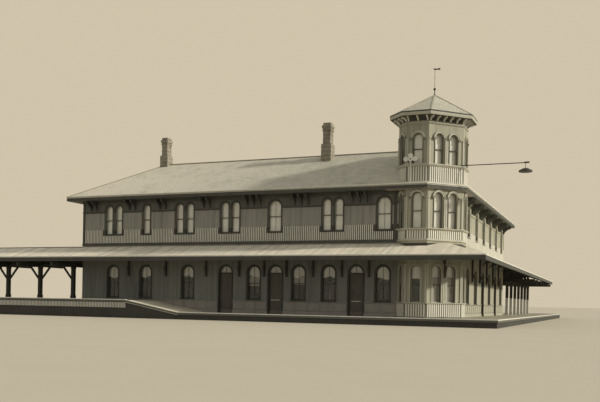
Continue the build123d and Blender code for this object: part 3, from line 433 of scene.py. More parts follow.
tones = {
    "wall": (0.350, 0.336, 0.288),
    "frieze": (0.165, 0.165, 0.138),
    "shade": (0.090, 0.088, 0.074),
    "tower": (0.430, 0.412, 0.310),
    "towerShade": (0.215, 0.208, 0.160),
    # darker than the wall paint: painted shade of the canopy over the front ground storey and door heads
    "lower": (0.250, 0.253, 0.222),
    "dado": (0.335, 0.312, 0.268),
    "dark": (0.080, 0.080, 0.067),
    "cornice": (0.092, 0.094, 0.078),
    "lilac": (0.400, 0.355, 0.310),
    "white": (0.810, 0.775, 0.660),
    "towerTrim": (0.520, 0.500, 0.400),
    "sash": (0.430, 0.415, 0.345),
    "blind": (0.900, 0.870, 0.760),
    "slate": ((0.490, 0.470, 0.378), (0.600, 0.570, 0.458), (0.800, 0.735, 0.595)),
    "canopy": (0.860, 0.790, 0.635),
    "plank": (0.430, 0.390, 0.300),
    "nosing": (0.160, 0.155, 0.128),
    "timber": (0.075, 0.073, 0.060),
    "lead": (0.480, 0.455, 0.355),
    "dust": (0.880, 0.855, 0.740),
    "dimDust": (0.300, 0.296, 0.256),
    "iron": (0.040, 0.039, 0.034),
    "metal": (0.620, 0.590, 0.500),
    "door": (0.110, 0.100, 0.082),
    "underRoof": ((0.060, 0.052, 0.042), (0.105, 0.090, 0.070)),
    "stone": ((0.200, 0.175, 0.140), (0.340, 0.300, 0.240), (0.100, 0.088, 0.070)),
    "stoneDirt": ((0.160, 0.140, 0.110), (0.400, 0.360, 0.290)),
    "brick": ((0.270, 0.235, 0.180), (0.440, 0.390, 0.300), (0.520, 0.470, 0.370)),
    "brickDirt": ((0.240, 0.215, 0.170), (0.250, 0.220, 0.170), (0.130, 0.110, 0.085)),
}
# the dark band from beltLow to beltHigh lies behind the battens: painted shade in the gaps between them, on
# the side wall in the frieze tone
upperBands = [(beltLow, beltHigh, tones["shade"]), (deckTop + 3.54, eaveBottom, tones["frieze"])]
lowerBands = [(deckTop, deckTop + 0.42, tones["dado"])]
# the darker towerShade bands lie behind the dado battens: partly their own paint, partly painted shade in the
# gaps
towerBands = [(deckTop, deckTop + 0.43, tones["towerShade"]),
              (beltLow, deckTop + 2.69, tones["towerShade"]), (eaveTop, ledge, tones["towerShade"])]
boardPaints = {
    "frontUpperPaint": ("wall", "front", "dark", upperBands),
    "sideUpperPaint": ("tower", "side", "wall", [(beltLow, beltHigh, tones["frieze"])]),
    "frontLowerPaint": ("lower", "front", "dark", lowerBands),
    "sideLowerPaint": ("tower", "side", "dark", lowerBands),
    "rearPaint": ("wall", "rear", "dark", upperBands),
    "yardPaint": ("wall", "yard", "dark", upperBands),
    "endPaint": ("wall", "ends", "dark", upperBands),
    "towerPaint": ("tower", "tower", "towerTrim", towerBands),
}
for name, (paint, wall, trim, bands) in boardPaints.items():
    paintedBoards(name, tones[paint], wall, tones[trim], bands)
paintedBoards("headPaint", tones["lower"])
trimPaints = {
    "darkTrim": ("dark", 0.4), "whiteTrim": ("white", 0.3), "towerTrim": ("towerTrim", 0.3),
    "buffTrim": ("tower", 0.4), "hoodTrim": ("towerShade", 0.4), "leadCap": ("lead", 0.2),
    "sashPaint": ("sash", 0.2), "dadoTrim": ("dado", 0.4), "blindCloth": ("blind", 0.05),
    "boardPaint": ("dust", 0.15),
}
for name, (paint, wear) in trimPaints.items():
    paintedTrim(name, tones[paint], wear)
# the main cornice is painted paler near the tower: painted sunlight on that stretch
paintedTrim("cornicePaint", tones["cornice"], atTower=tones["lilac"])
# the tower cornice's downward faces are painted dark: painted shade on the soffit between the brackets
paintedTrim("towerCornicePaint", tones["towerTrim"], 0.3, under=tones["dark"])
slateRoof("slates", *tones["slate"])
roofBoards("canopyBoards", tones["canopy"], tones["underRoof"])
planks("floorPaint", times(tones["plank"], 0.8), tones["timber"])
planks("platformPlanks", tones["plank"], tones["nosing"])
# the ramp's planks are painted twice as pale: painted sunlight on the ramp
planks("rampPlanks", times(tones["plank"], 2), tones["nosing"])
roughTimber("platformTimber", tones["timber"])
roughTimber("frameTimber", tones["timber"], (deckTop + 0.8, tones["white"]))
stoneFooting("footingStone", tones["stone"], tones["stoneDirt"])
brickStack("brickwork", tones["brick"], *tones["brickDirt"])
ironPaint("ironwork", tones["iron"])
ironPaint("paleMetal", tones["metal"])
# the upper panes are a pale, nearly opaque sheet: dust and a painted reflection of the sky
windowGlass("upperPanes", tones["dust"], 0.9, 1.0)
windowGlass("lowerPanes", tones["dimDust"], 0.22, 0.6, (deckTop + 1.45, tones["dust"]))
doorPaint("doorWood", tones["door"])
print("materials made")

nodeFinishes = {
    "footingStone": "foundation",
    "floorPaint": "ground_floor upper_floor lookout_floor",
    "platformPlanks": "low_deck high_deck",
    "rampPlanks": "ramp",
    "platformTimber": "low_deck_framing high_deck_framing",
    "frontLowerPaint": "front_wall_lower",
    "sideLowerPaint": "side_wall_lower",
    "headPaint": "door_heads",
    "frontUpperPaint": "front_wall_upper",
    "sideUpperPaint": "side_wall_upper",
    "rearPaint": "rear_wall",
    "yardPaint": "yard_wall",
    "endPaint": "end_walls",
    "towerPaint": "tower_walls_lower tower_walls_upper lookout_walls",
    "cornicePaint": "main_cornice",
    "towerCornicePaint": "tower_cornice",
    "slates": "main_roof tower_roof",
    "canopyBoards": "front_canopy side_canopy shed_roofs",
    "frameTimber": "shed_frames canopy_brackets",
    "darkTrim": "eave_brackets door_frames",
    "whiteTrim": "tower_brackets",
    "lowerPanes": "glass_lower",
    "upperPanes": "glass_upper",
    "doorWood": "front_door_west front_door_middle front_door_east side_door_south side_door_north",
    "brickwork": "chimneys",
    "ironwork": "tower_finial weather_vane door_hinges signal_arm",
    "boardPaint": "signal_target",
}
for finish, names in nodeFinishes.items():
    for name in names.split():
        nodes[name].data.materials.clear()
        nodes[name].data.materials.append(bpy.data.materials[finish])
print("nodes finished")


# Wall faces: local x runs along a wall, local z up from the ground, local -y out of it
def wallPlace(start, end):
    run = Vector((end[0] - start[0], end[1] - start[1], 0)).normalized()
    return Matrix.Translation((*start, 0)) @ turnedTo(run, Vector((-run.y, run.x, 0)), Vector((0, 0, 1)))


def octagon(outside):
    flat = towerFlat + outside
    corner = (towerCorner + outside) * math.sqrt(2)
    flank = (towerFlank + outside) * math.sqrt(2)
    local = [(-flat, flat - flank), (flat - flank, -flat), (corner - flat, -flat), (flat, flat - corner),
             (flat, flank - flat), (flank - flat, flat), (flat - corner, flat), (-flat, corner - flat)]
    return [(x - towerAxis, y + towerAxis) for x, y in local]


corners = octagon(0)
towerPlaces = [wallPlace(corners[i], corners[(i + 1) % 8]) for i in range(8)]
towerWidths = [(Vector(corners[(i + 1) % 8]) - Vector(corners[i])).length for i in range(8)]
frontPlace = wallPlace((-frontLength, 0), (0, 0))
sidePlace = wallPlace((0, 0), (0, sideLength))
northPlace = wallPlace((0, sideLength), (-wingDepth, sideLength))
westPlace = wallPlace((-frontLength, wingDepth), (-frontLength, 0))
rearPlace = wallPlace((-wingDepth, wingDepth), (-frontLength, wingDepth))
yardPlace = wallPlace((-wingDepth, sideLength), (-wingDepth, wingDepth))


# Sections as (out, z) points: a plain one, and one that stands out of a wall's face
def slab(out, z):
    return [(out[0], z[0]), (out[1], z[0]), (out[1], z[1]), (out[0], z[1])]


def proud(*points):
    return [(0, points[0][1]), *points, (0, points[-1][1])]


# One mesh piece in the making
class Piece:
    def __init__(self, name, finish, slot, body="building"):
        self.name, self.finish, self.slot, self.body = name, finish, slot, body
        self.bm = bmesh.new()

    def board(self, place, x, out, z):
        size = (x[1] - x[0], out[1] - out[0], z[1] - z[0], 1)
        centre = Matrix.Translation(((x[0] + x[1]) / 2, -(out[0] + out[1]) / 2, (z[0] + z[1]) / 2))
        bmesh.ops.create_cube(self.bm, size=1, matrix=place @ centre @ Matrix.Diagonal(size))

    def strip(self, place, centre, wide, out, z):
        self.board(place, (centre - wide / 2, centre + wide / 2), out, z)

    def block(self, x, y, wide, deep, z):
        self.board(Matrix.Identity(4), (x - wide / 2, x + wide / 2), (-y - deep / 2, -y + deep / 2), z)

    def border(self, place, x, out, z, wide):
        # four boards round a panel
        for edge in (x[0], x[1] - wide):
            self.board(place, (edge, edge + wide), out, z)
        for edge in (z[0], z[1] - wide):
            self.board(place, x, out, (edge, edge + wide))

    def push(self, face, step):
        # draws a face out along a step and gives the new end
        pushed = bmesh.ops.extrude_face_region(self.bm, geom=[face])["geom"]
        bmesh.ops.translate(self.bm, vec=step, verts=[g for g in pushed if isinstance(g, bmesh.types.BMVert)])
        return next(g for g in pushed if isinstance(g, bmesh.types.BMFace))

    def moulding(self, place, x, section, base=0.0):
        # a section run along a wall
        spots = [place @ Vector((x[0], -out, base + z)) for out, z in section]
        face = self.bm.faces.new([self.bm.verts.new(spot) for spot in spots])
        self.push(face, place.to_3x3() @ Vector((x[1] - x[0], 0, 0)))

    def path(self, spots, section, base=0.0, closed=False):
        # a section carried round the corners of a plan, mitred at each
        count = len(spots)
        spots = [Vector(spot) for spot in spots]
        mitres = []
        for i in range(count):
            before = spots[i] - spots[i - 1] if closed or i > 0 else spots[1] - spots[0]
            after = spots[(i + 1) % count] - spots[i] if closed or i < count - 1 else before
            first, second = (Vector((run.y, -run.x)).normalized() for run in (before, after))
            mitres.append((first + second) / (1 + first.dot(second)))
        face = self.bm.faces.new([self.bm.verts.new((spots[0] + mitres[0] * out).to_3d()
                                                    + Vector((0, 0, base + z))) for out, z in section])
        start = face
        for i in range(1, count + closed):
            was, now = (i - 1) % count, i % count
            face = self.push(face, (0, 0, 0))
            for v in face.verts:
                out = (v.co.xy - spots[was]).dot(mitres[was]) / mitres[was].length_squared
                v.co = (spots[now] + mitres[now] * out).to_3d() + Vector((0, 0, v.co.z))
        if closed:
            bmesh.ops.delete(self.bm, geom=[face, start], context="FACES_ONLY")
            bmesh.ops.remove_doubles(self.bm, verts=self.bm.verts, dist=0.0001)

    def archMoulding(self, place, centre, width, sill, head, section, steps=12):
        # a section of (distance from the opening, out) points up one side, round and down the other
        old = set(self.bm.verts)
        half = width / 2
        spring = head - half
        face = self.bm.faces.new([self.bm.verts.new(Vector((centre - half - off, -out, sill)))
                                  for off, out in section])
        top = self.push(face, (0, 0, spring - sill))
        spun = bmesh.ops.spin(self.bm, geom=[top], cent=(centre, 0, spring), axis=(0, 1, 0), angle=math.pi,
                              steps=steps)["geom_last"]
        self.push(next(g for g in spun if isinstance(g, bmesh.types.BMFace)), (0, 0, sill - spring))
        bmesh.ops.transform(self.bm, matrix=place, verts=[v for v in self.bm.verts if v not in old])

    def bar(self, start, end, width, depth, lift=0.0):
        # a squared bar between two points, lifted square to its run
        start, end = Vector(start), Vector(end)
        run = (end - start).normalized()
        side = run.cross(Vector((0, 0, 1))).normalized()
        up = side.cross(run)
        middle = Matrix.Translation((start + end) / 2 + up * lift)
        size = Matrix.Diagonal(((end - start).length, width, depth, 1))
        bmesh.ops.create_cube(self.bm, size=1, matrix=middle @ turnedTo(run, side, up) @ size)

    def done(self, bevel=0.0):
        bmesh.ops.recalc_face_normals(self.bm, faces=self.bm.faces)
        mesh = bpy.data.meshes.new(self.name)
        self.bm.to_mesh(mesh)
        self.bm.free()
        mesh.materials.append(bpy.data.materials[self.finish])
        made = linked(self.name, mesh)
        if bevel:
            rounded = made.modifiers.new("edges", "BEVEL")
            rounded.width = bevel
            rounded.segments = 1
            rounded.limit_method = "ANGLE"
        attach(made, self.body)


def edging(name, finish, slot, bevel, *runs):
    piece = Piece(name, finish, slot)
    for run in runs:
        piece.path(*run)
    piece.done(bevel)


def spacedStrips(piece, place, start, end, strip, heights):
    # strips at an even pitch along a wall; heights is their bottom and top, or gives them for each place
    count = round((end - start) / strip["pitch"])
    step = (end - start) / count
    for i in range(count):
        x = start + step * (i + 0.5)
        piece.strip(place, x, strip["wide"], (0, strip["out"]), heights(x) if callable(heights) else heights)


def above(sill, head):
    return deckTop + sill, deckTop + head


def alongFront(places):
    return [frontLength * (1 - place) for place in places]


def bays(run, count):
    return [run / count * (i + 0.5) for i in range(count)]


def sideStretch(u, side, near, far):
    # the stretch between two distances to one side of a centre
    return sorted((u + side * near, u + side * far))


# Where the windows are: wall, centre along it, width, sill and head above the ground
slimWindow, wideWindow, lowWindow, squareWindow = 0.3, 0.455, 0.46, 0.44
towerWindow, turnedWindow = 0.31, 0.21
pairHalf, towerPairHalf = 0.205, 0.26
frontPairs = alongFront([0.9005, 0.6829, 0.5521, 0.2785])
frontUpper = [(u + side * pairHalf, slimWindow) for u in frontPairs for side in (-1, 1)]
frontUpper += [(u, slimWindow) for u in alongFront([0.7981])]
frontUpper += [(u, wideWindow) for u in alongFront([0.4290, 0.1520])]
frontLower = alongFront([0.9005, 0.7981, 0.6712, 0.4834, 0.3636, 0.2859, 0.1525])
frontDoors = alongFront([0.5621, 0.4250, 0.2175])
sideStart, sideDoorBays = 2.5, (2, 4)
sideCentres = [sideStart + u for u in bays(sideLength - sideStart, 6)]
sideDoors = [sideCentres[i] for i in sideDoorBays]
lowerLight, upperLight, towerLight = above(0.475, 1.61), above(2.745, 3.78), above(2.745, 3.85)
lookoutLight = above(4.705, 5.645)
squareLights = (above(0.475, 1.56), above(2.745, 3.7))


def towerWindows(i):
    middle = towerWidths[i] / 2
    if i == 2:
        return [(middle - towerPairHalf, towerWindow), (middle + towerPairHalf, towerWindow)]
    return [(middle, towerWindow if i in (1, 3) else turnedWindow)]


rearRows = {
    "rear": (rearPlace, frontLength - wingDepth, 5), "yard": (yardPlace, sideLength - wingDepth, 4),
    "west": (westPlace, wingDepth, 2), "north": (northPlace, wingDepth, 2),
}
frontUpperWindows = [(frontPlace, u, w, *upperLight) for u, w in frontUpper]
sideUpperWindows = [(sidePlace, u, wideWindow, *upperLight) for u in sideCentres]
frontLowerWindows = [(frontPlace, u, lowWindow, *lowerLight) for u in frontLower]
sideLowerWindows = [(sidePlace, u, lowWindow, *lowerLight) for u in sideCentres if u not in sideDoors]
towerRows = {"ground": lowerLight, "upper": towerLight, "lookout": lookoutLight}
towerGroups = {key: [(towerPlaces[i], u, w, *light) for i in range(5) for u, w in towerWindows(i)]
               for key, light in towerRows.items()}


# Sashes: an arched frame, a lower sash set further in, and the rail where the two meet
def sashes(name, windows, finish):
    sash = {"frame": 0.014, "frameOut": (-0.04, -0.095), "stile": 0.02, "upper": (-0.05, -0.07),
            "lower": (-0.092, -0.072), "meet": 0.47, "bar": 0.01,
            "barOut": ((-0.066, -0.052), (-0.088, -0.074))}
    edge, stile, low = sash["frame"], sash["stile"], sash["lower"]
    frames = Piece(name + "Frames", "darkTrim", "dark_trim")
    piece = Piece(name, finish, "dark_trim")
    ring, arch = slab((0, -edge), sash["frameOut"]), slab((0, -stile), sash["upper"])
    for place, u, w, sill, head in windows:
        meet = sill + (head - sill) * sash["meet"]
        inner = w / 2 - edge
        frames.archMoulding(place, u, w - 0.002, sill, head, ring)
        piece.archMoulding(place, u, w - edge * 2, meet, head - edge, arch)
        for side in (-1, 1):
            piece.board(place, sideStretch(u, side, inner, inner - stile), low, (sill, meet))
        piece.strip(place, u, inner * 2, low, (sill, sill + stile * 1.6))
        # the meeting rail takes the dark frame paint: dirt and painted shade along the rail
        frames.strip(place, u, inner * 2, (low[0], sash["upper"][0]), (meet, meet + stile))
        if w > 0.4:
            for out, z in zip(sash["barOut"], ((meet + stile, head - edge), (sill, meet))):
                piece.strip(place, u, sash["bar"], out, z)
    frames.done(0.0015)
    piece.done(0.0015)


def squareSashes(name, finish):
    sash = {"stile": 0.03, "upper": (-0.07, -0.05), "lower": (-0.092, -0.072), "bar": 0.012}
    piece = Piece(name, finish, "dark_trim")
    for place, run, count in rearRows.values():
        for u in bays(run, count):
            for sill, head in squareLights:
                meet = (sill + head) / 2
                for z, out in (((meet, head), sash["upper"]), ((sill, meet + sash["stile"]), sash["lower"])):
                    piece.border(place, (u - squareWindow / 2, u + squareWindow / 2), out, z, sash["stile"])
                    piece.strip(place, u, sash["bar"], out, z)
    piece.done(0.0015)


sashes("frontSashesUpper", frontUpperWindows, "sashPaint")
sashes("sideSashesUpper", sideUpperWindows, "darkTrim")
sashes("frontSashesLower", frontLowerWindows, "darkTrim")
sashes("sideSashesLower", sideLowerWindows, "darkTrim")
for row, group in towerGroups.items():
    sashes(row + "TowerSashes", group, "sashPaint")
squareSashes("rearSashes", "sashPaint")
print("sashes hung")


# Painted shutters and blinds that stand closed inside the glass, over a share of each window's height; in
# dark paint the same boards are painted shade
def insideShutters(name, windows, shares, finish):
    shutter = {"gap": 0.012, "frame": 0.03, "thick": 0.012, "out": -0.128, "relief": 0.004, "pitch": 0.3}
    piece = Piece(name, finish, "white_trim")
    wide, out, relief = shutter["frame"], shutter["out"], shutter["relief"]
    for (place, u, w, sill, head), (low, high) in zip(windows, shares):
        bottom = sill + (head - sill) * low + 0.005
        top = sill + (head - sill) * high + 0.012
        rails = max(2, round((top - bottom) / shutter["pitch"]) + 1)
        for side in (-1, 1):
            x = sideStretch(u, side, shutter["gap"] / 2, w / 2 + 0.012)
            piece.board(place, x, (out - shutter["thick"], out - relief), (bottom, top))
            for edge in (x[0], x[1] - wide):
                piece.board(place, (edge, edge + wide), (out - relief, out + relief), (bottom, top))
            for i in range(rails):
                z = bottom + (top - bottom - wide) * i / (rails - 1)
                piece.board(place, x, (out - relief, out + 0.003), (z, z + wide))
    piece.done()


closed = (0.0, 1.0)
insideShutters("frontShuttersUpper", frontUpperWindows, [closed] * len(frontUpperWindows), "whiteTrim")
insideShutters("sideShuttersUpper", sideUpperWindows, [closed, (0.5, 1.0)] * 3, "buffTrim")
insideShutters("frontShuttersLower", frontLowerWindows[2:6],
               [(0.66, 1.0), (0.4, 1.0), (0.45, 1.0), (0.8, 1.0)], "blindCloth")
# dark boards inside these lower windows: painted shade for the dark rooms behind the glass
insideShutters("frontPaintedShadeBoards", [frontLowerWindows[i] for i in (0, 1, 2, 5, 6)],
               [closed, closed, (0.0, 0.62), (0.0, 0.76), closed], "darkTrim")
insideShutters("towerShuttersGround", towerGroups["ground"][2:4], [closed, closed], "whiteTrim")
insideShutters("towerShuttersUpper", towerGroups["upper"][1:5], [(0.0, 0.55), closed, closed, (0.0, 0.6)],
               "whiteTrim")
insideShutters("towerShuttersLookout", towerGroups["lookout"][2:5], [closed, closed, (0.4, 1.0)], "whiteTrim")
print("shutters closed")


def towerPiers():
    # the wall between the two windows of the corner face, on both storeys
    pier = {"wide": 0.207, "out": 0.0015, "storeys": (above(0.015, 2.165), above(2.3, 3.935))}
    piece = Piece("towerPiers", "towerPaint", "tower_boards")
    for heights in pier["storeys"]:
        piece.strip(towerPlaces[2], towerWidths[2] / 2, pier["wide"], (-wallThickness, pier["out"]), heights)
    piece.done()


# Moulded hoods over the tower's windows, with a bead inside and an impost on each side; beads and imposts are
# painted darker, a painted shadow inside each hood
def towerHoods():
    hood = {"bead": [(0.0, 0.0), (0.014, 0.0), (0.014, 0.022), (0.004, 0.03), (0.0, 0.03)],
            "roll": [(0.036, 0.04), (0.060, 0.04), (0.063, 0.050), (0.056, 0.058), (0.040, 0.058)],
            "impost": ((0.07, -0.022, 0.012), (0.055, -0.05, -0.022)), "steps": 14}
    piece = Piece("towerHoodMouldings", "towerTrim", "white_trim")
    inner = Piece("towerHoodBeads", "hoodTrim", "white_trim")
    for place, u, w, sill, head in towerGroups["upper"] + towerGroups["lookout"]:
        spring = head - w / 2
        inner.archMoulding(place, u, w, sill, head, hood["bead"], hood["steps"])
        piece.archMoulding(place, u, w, spring, head, hood["roll"], hood["steps"])
        for side in (-1, 1):
            for out, low, high in hood["impost"]:
                inner.board(place, sideStretch(u, side, w / 2 + 0.002, w / 2 + 0.078), (0.0, out),
                            (spring + low, spring + high))
    inner.done(0.003)
    piece.done(0.003)


# Slim pilasters beside the windows and at the corners of the tower
def towerPilasters():
    post = {"wide": 0.05, "out": 0.03, "end": 0.006, "endOut": 0.045, "cap": 0.03, "base": 0.05}
    lights = ((low, high - towerWindow / 2) for low, high in (towerLight, lookoutLight))
    stages = (above(0.475, 1.66), *lights)
    piece = Piece("towerPilasters", "towerTrim", "white_trim")
    wide, end = post["wide"], post["end"]
    for low, high in stages:
        for i in range(5):
            spots = [0.0, towerWidths[i] - wide]
            if i == 2:
                spots += [towerWidths[i] / 2 - wide - end, towerWidths[i] / 2 + end]
            for x in spots:
                piece.board(towerPlaces[i], (x, x + wide), (0, post["out"]), (low, high))
                for z in ((high - post["cap"], high), (low, low + post["base"])):
                    piece.board(towerPlaces[i], (x - end, x + wide + end), (0, post["endOut"]), z)
    piece.done(0.003)


# Battened dados under each row of tower windows, pale battens over darker board, partly its own paint and
# partly painted shade in the gaps
def towerDados():
    dado = {"pitch": 0.074, "wide": 0.044, "out": 0.018, "margin": 0.025}
    piece = Piece("towerDadoBattens", "whiteTrim", "white_trim")
    for z in (above(0.03, 0.425), (beltLow, deckTop + 2.68), (eaveTop + 0.02, ledge)):
        for i in range(8 if z[0] > eaveTop else 5):
            spacedStrips(piece, towerPlaces[i], dado["margin"], towerWidths[i] - dado["margin"], dado, z)
    piece.done(0.002)


# Ledges, belts, frieze and dentils round the tower
def towerBelts():
    belts = {
        "dado": proud((0.035, 0.43), (0.05, 0.455), (0.05, 0.473)),
        "sill": [(0, 2.685), (0.05, 2.70), (0.085, 2.72), (0.085, 2.743), (0, 2.743)],
        "foot": proud((0.035, 2.36), (0.035, 2.40), (0.022, 2.42)),
        "ledge": proud((0.03, 0), (0.06, 0.035), (0.075, 0.05), (0.075, 0.083)),
        "frieze": proud((0.018, 0), (0.03, 0.015), (0.03, 0.03)),
        "crown": proud((0.004, 0.07), (0.004, 0.145), (0.03, 0.145), (0.055, 0.2)),
    }
    dentil = {"wide": 0.022, "pitch": 0.05, "out": 0.026, "high": 0.028}
    piece = Piece("towerBelts", "towerTrim", "white_trim")
    for key in ("dado", "sill", "foot"):
        piece.path(corners[:6], belts[key], deckTop)
    piece.path(corners, belts["ledge"], ledge, True)
    z = towerEaveBottom - 0.2
    piece.path(corners, belts["frieze"], z, True)
    # the frieze crown under the tower's eave is painted dark: painted shade between the brackets
    edging("towerFriezeCrown", "darkTrim", "white_trim", 0.002, (corners, belts["crown"], z, True))
    for place, width in zip(towerPlaces, towerWidths):
        spacedStrips(piece, place, 0, width, dentil, (z - dentil["high"], z))
    piece.done(0.002)


towerPiers()
towerHoods()
towerPilasters()
towerDados()
towerBelts()
print("tower trimmed")


# Battens of the belt under the upper windows, cut short below each sill
def beltBattens(name, place, start, end, openings):
    batten = {"pitch": 0.065, "wide": 0.03, "out": 0.022, "low": beltLow + 0.005, "sill": deckTop + 2.695,
              "beside": 0.08, "margin": 0.1}
    piece = Piece(name, "whiteTrim", "white_trim")

    def heights(x):
        below = any(abs(x - u) < w / 2 + batten["beside"] for u, w in openings)
        return batten["low"], batten["sill"] if below else beltHigh

    spacedStrips(piece, place, start + batten["margin"], end - batten["margin"], batten, heights)
    piece.done(0.002)


# Belt moulding between the windows, base band, corner boards and frieze of one upper wall
def upperTrim(name, place, start, end, openings, finish):
    trim = {"belt": proud((0.021, 3.515), (0.035, 3.53), (0.035, 3.56)),
            "base": proud((0.04, 2.34), (0.04, 2.39), (0.028, 2.42)),
            "frieze": proud((0.02, -0.09), (0.045, -0.03), (0.045, 0)),
            "corner": 0.09, "cornerOut": 0.018, "casing": 0.05, "least": 0.16}
    piece = Piece(name, finish, "dark_trim")
    edges = [start]
    for u, w in sorted(openings):
        left, right = u - w / 2 - trim["casing"], u + w / 2 + trim["casing"]
        if left > edges[-1] + trim["least"] or len(edges) == 1:
            edges += [left, right]
        else:
            edges[-1] = right
    edges.append(end)
    for stretch in zip(edges[::2], edges[1::2]):
        piece.moulding(place, stretch, trim["belt"], deckTop)
    piece.moulding(place, (start, end), trim["base"], deckTop)
    piece.moulding(place, (start, end), trim["frieze"], eaveBottom)
    for x in (start, end - trim["corner"]):
        piece.board(place, (x, x + trim["corner"]), (0, trim["cornerOut"]), (beltLow, eaveBottom - 0.09))
    piece.done(0.002)


# Each wall's place and ends, upper windows, doors, and the finishes of its upper and lower trim
walls = {
    "front": ((frontPlace, 0.0, frontLength - towerEdge - 0.01), frontUpper, frontDoors,
              "darkTrim", "dadoTrim"),
    "side": ((sidePlace, towerEdge + 0.01, sideLength), [(u, wideWindow) for u in sideCentres], sideDoors,
             "buffTrim", "buffTrim"),
}
for name in ("west", "north", "rear", "yard"):
    place, run, count = rearRows[name]
    windows = [(u, squareWindow) for u in bays(run, count)]
    walls[name] = ((place, 0.0, run), windows, [], "darkTrim", "darkTrim")
for name, (span, openings, _, finish, _) in walls.items():
    beltBattens(name + "BeltBattens", *span, openings)
    upperTrim(name + "UpperTrim", *span, openings, finish)
print("upper walls trimmed")


# Ground storey: plinth, dado rail and raised dado panels
def lowerTrim(name, place, start, end, doors, finish):
    trim = {"plinth": proud((0.03, 0), (0.03, 0.09), (0.012, 0.108)),
            "rail": proud((0.018, 0.415), (0.03, 0.427), (0.03, 0.445)),
            "doorway": 0.273, "bay": 0.42, "between": 0.04, "panel": above(0.14, 0.385), "panelOut": 0.012}
    piece = Piece(name, finish, "dark_trim")
    stops = [start] + [x for u in sorted(doors) for x in (u - trim["doorway"], u + trim["doorway"])] + [end]
    for left, right in zip(stops[::2], stops[1::2]):
        piece.moulding(place, (left, right), trim["plinth"], deckTop)
        piece.moulding(place, (left, right), trim["rail"], deckTop)
        count = max(1, round((right - left) / trim["bay"]))
        step = (right - left) / count
        for i in range(count):
            x = (left + step * i + trim["between"], left + step * (i + 1) - trim["between"])
            piece.board(place, x, (0, trim["panelOut"]), trim["panel"])
    piece.done(0.004)


for name, (span, _, doors, _, finish) in walls.items():
    lowerTrim(name + "LowerTrim", *span, doors, finish)
print("lower walls trimmed")


# Doors: raised mouldings round the panels and a push rail
def doorTrim(name, place, u, body, rail):
    door = {"half": 0.228, "stile": 0.07, "face": -0.075, "bead": 0.008, "low": deckTop + 0.008,
            "high": deckTop + 1.338, "lock": 0.42, "lockHalf": 0.035, "kick": 0.14, "top": 0.07,
            "field": 0.022}
    push = {"long": 0.32, "stays": (-0.13, 0.12), "stay": 0.012}
    piece = Piece(name, "doorWood", "door_wood", body)
    face, field = door["face"], door["field"]
    middle = door["low"] + (door["high"] - door["low"]) * door["lock"]
    for side in (-1, 1):
        x = sideStretch(u, side, door["stile"] / 2, door["half"] - door["stile"])
        for low, high in ((door["low"] + door["kick"], middle - door["lockHalf"]),
                          (middle + door["lockHalf"], door["high"] - door["top"])):
            piece.border(place, x, (face - 0.006, face + 0.003), (low, high), door["bead"])
            piece.board(place, (x[0] + field, x[1] - field), (face - 0.007, face - 0.001),
                        (low + field, high - field))
    piece.done(0.002)
    if rail:
        bar = Piece(name + "PushRail", "paleMetal", "iron", body)
        bar.strip(place, u, push["long"], (face + 0.012, face + 0.022), above(0.455, 0.485))
        for x in push["stays"]:
            bar.board(place, (u + x, u + x + push["stay"]), (face, face + 0.013), above(0.46, 0.48))
        bar.done(0.003)


doorNames = ("front_door_west", "front_door_middle", "front_door_east", "side_door_south", "side_door_north")
doorSpots = dict(zip(doorNames, [(frontPlace, u) for u in frontDoors] + [(sidePlace, u) for u in sideDoors]))
for name, (place, u) in doorSpots.items():
    railed = name in ("front_door_middle", "front_door_east")
    doorTrim(name.replace("_", "-") + "-trim", place, u, name, railed)


def doorLights():
    # a bead round each arched light over a door, and its upright bar
    light = {"width": 0.47, "bar": 0.012, "bead": slab((0, -0.022), (-0.03, -0.07))}
    piece = Piece("doorLightBars", "darkTrim", "dark_trim")
    spring = deckTop + 1.375
    head = spring + light["width"] / 2
    for place, u in doorSpots.values():
        piece.archMoulding(place, u, light["width"] - 0.002, spring, head, light["bead"])
        piece.strip(place, u, light["bar"], (-0.062, -0.045), (spring, head - 0.01))
    piece.done(0.0015)


doorLights()
insideShutters("doorLightShades", [(place, u, 0.44, *above(1.375, 1.58)) for place, u in doorSpots.values()],
               [closed] * len(doorSpots), "blindCloth")
print("doors dressed")


# Main eave: a pale gutter board on the roof's edge and a crown moulding under it
def eaveTrim():
    gap = towerAxis * 2 - (towerCorner + cornerEaveReach) * math.sqrt(2)
    west, north = -frontLength - eaveReach, sideLength + eaveReach
    courtX, courtY = -wingDepth - eaveReach, wingDepth + eaveReach
    edge = [(west, -eaveReach), (-gap - eaveReach, -eaveReach), (eaveReach, gap + eaveReach),
            (eaveReach, north), (courtX, north), (courtX, courtY), (west, courtY)]
    gutter = [(-0.012, -0.018), (0.018, -0.018), (0.024, 0.006), (0.018, 0.014), (-0.012, 0.014)]
    crown = proud((0.008, 0), (0.008, 0.07), (0.016, 0.1))
    edging("gutterBoards", "whiteTrim", "white_trim", 0, (edge, gutter, roofEdge, True))
    edging("eaveCrown", "darkTrim", "dark_trim", 0, (edge, crown, eaveBottom, True))


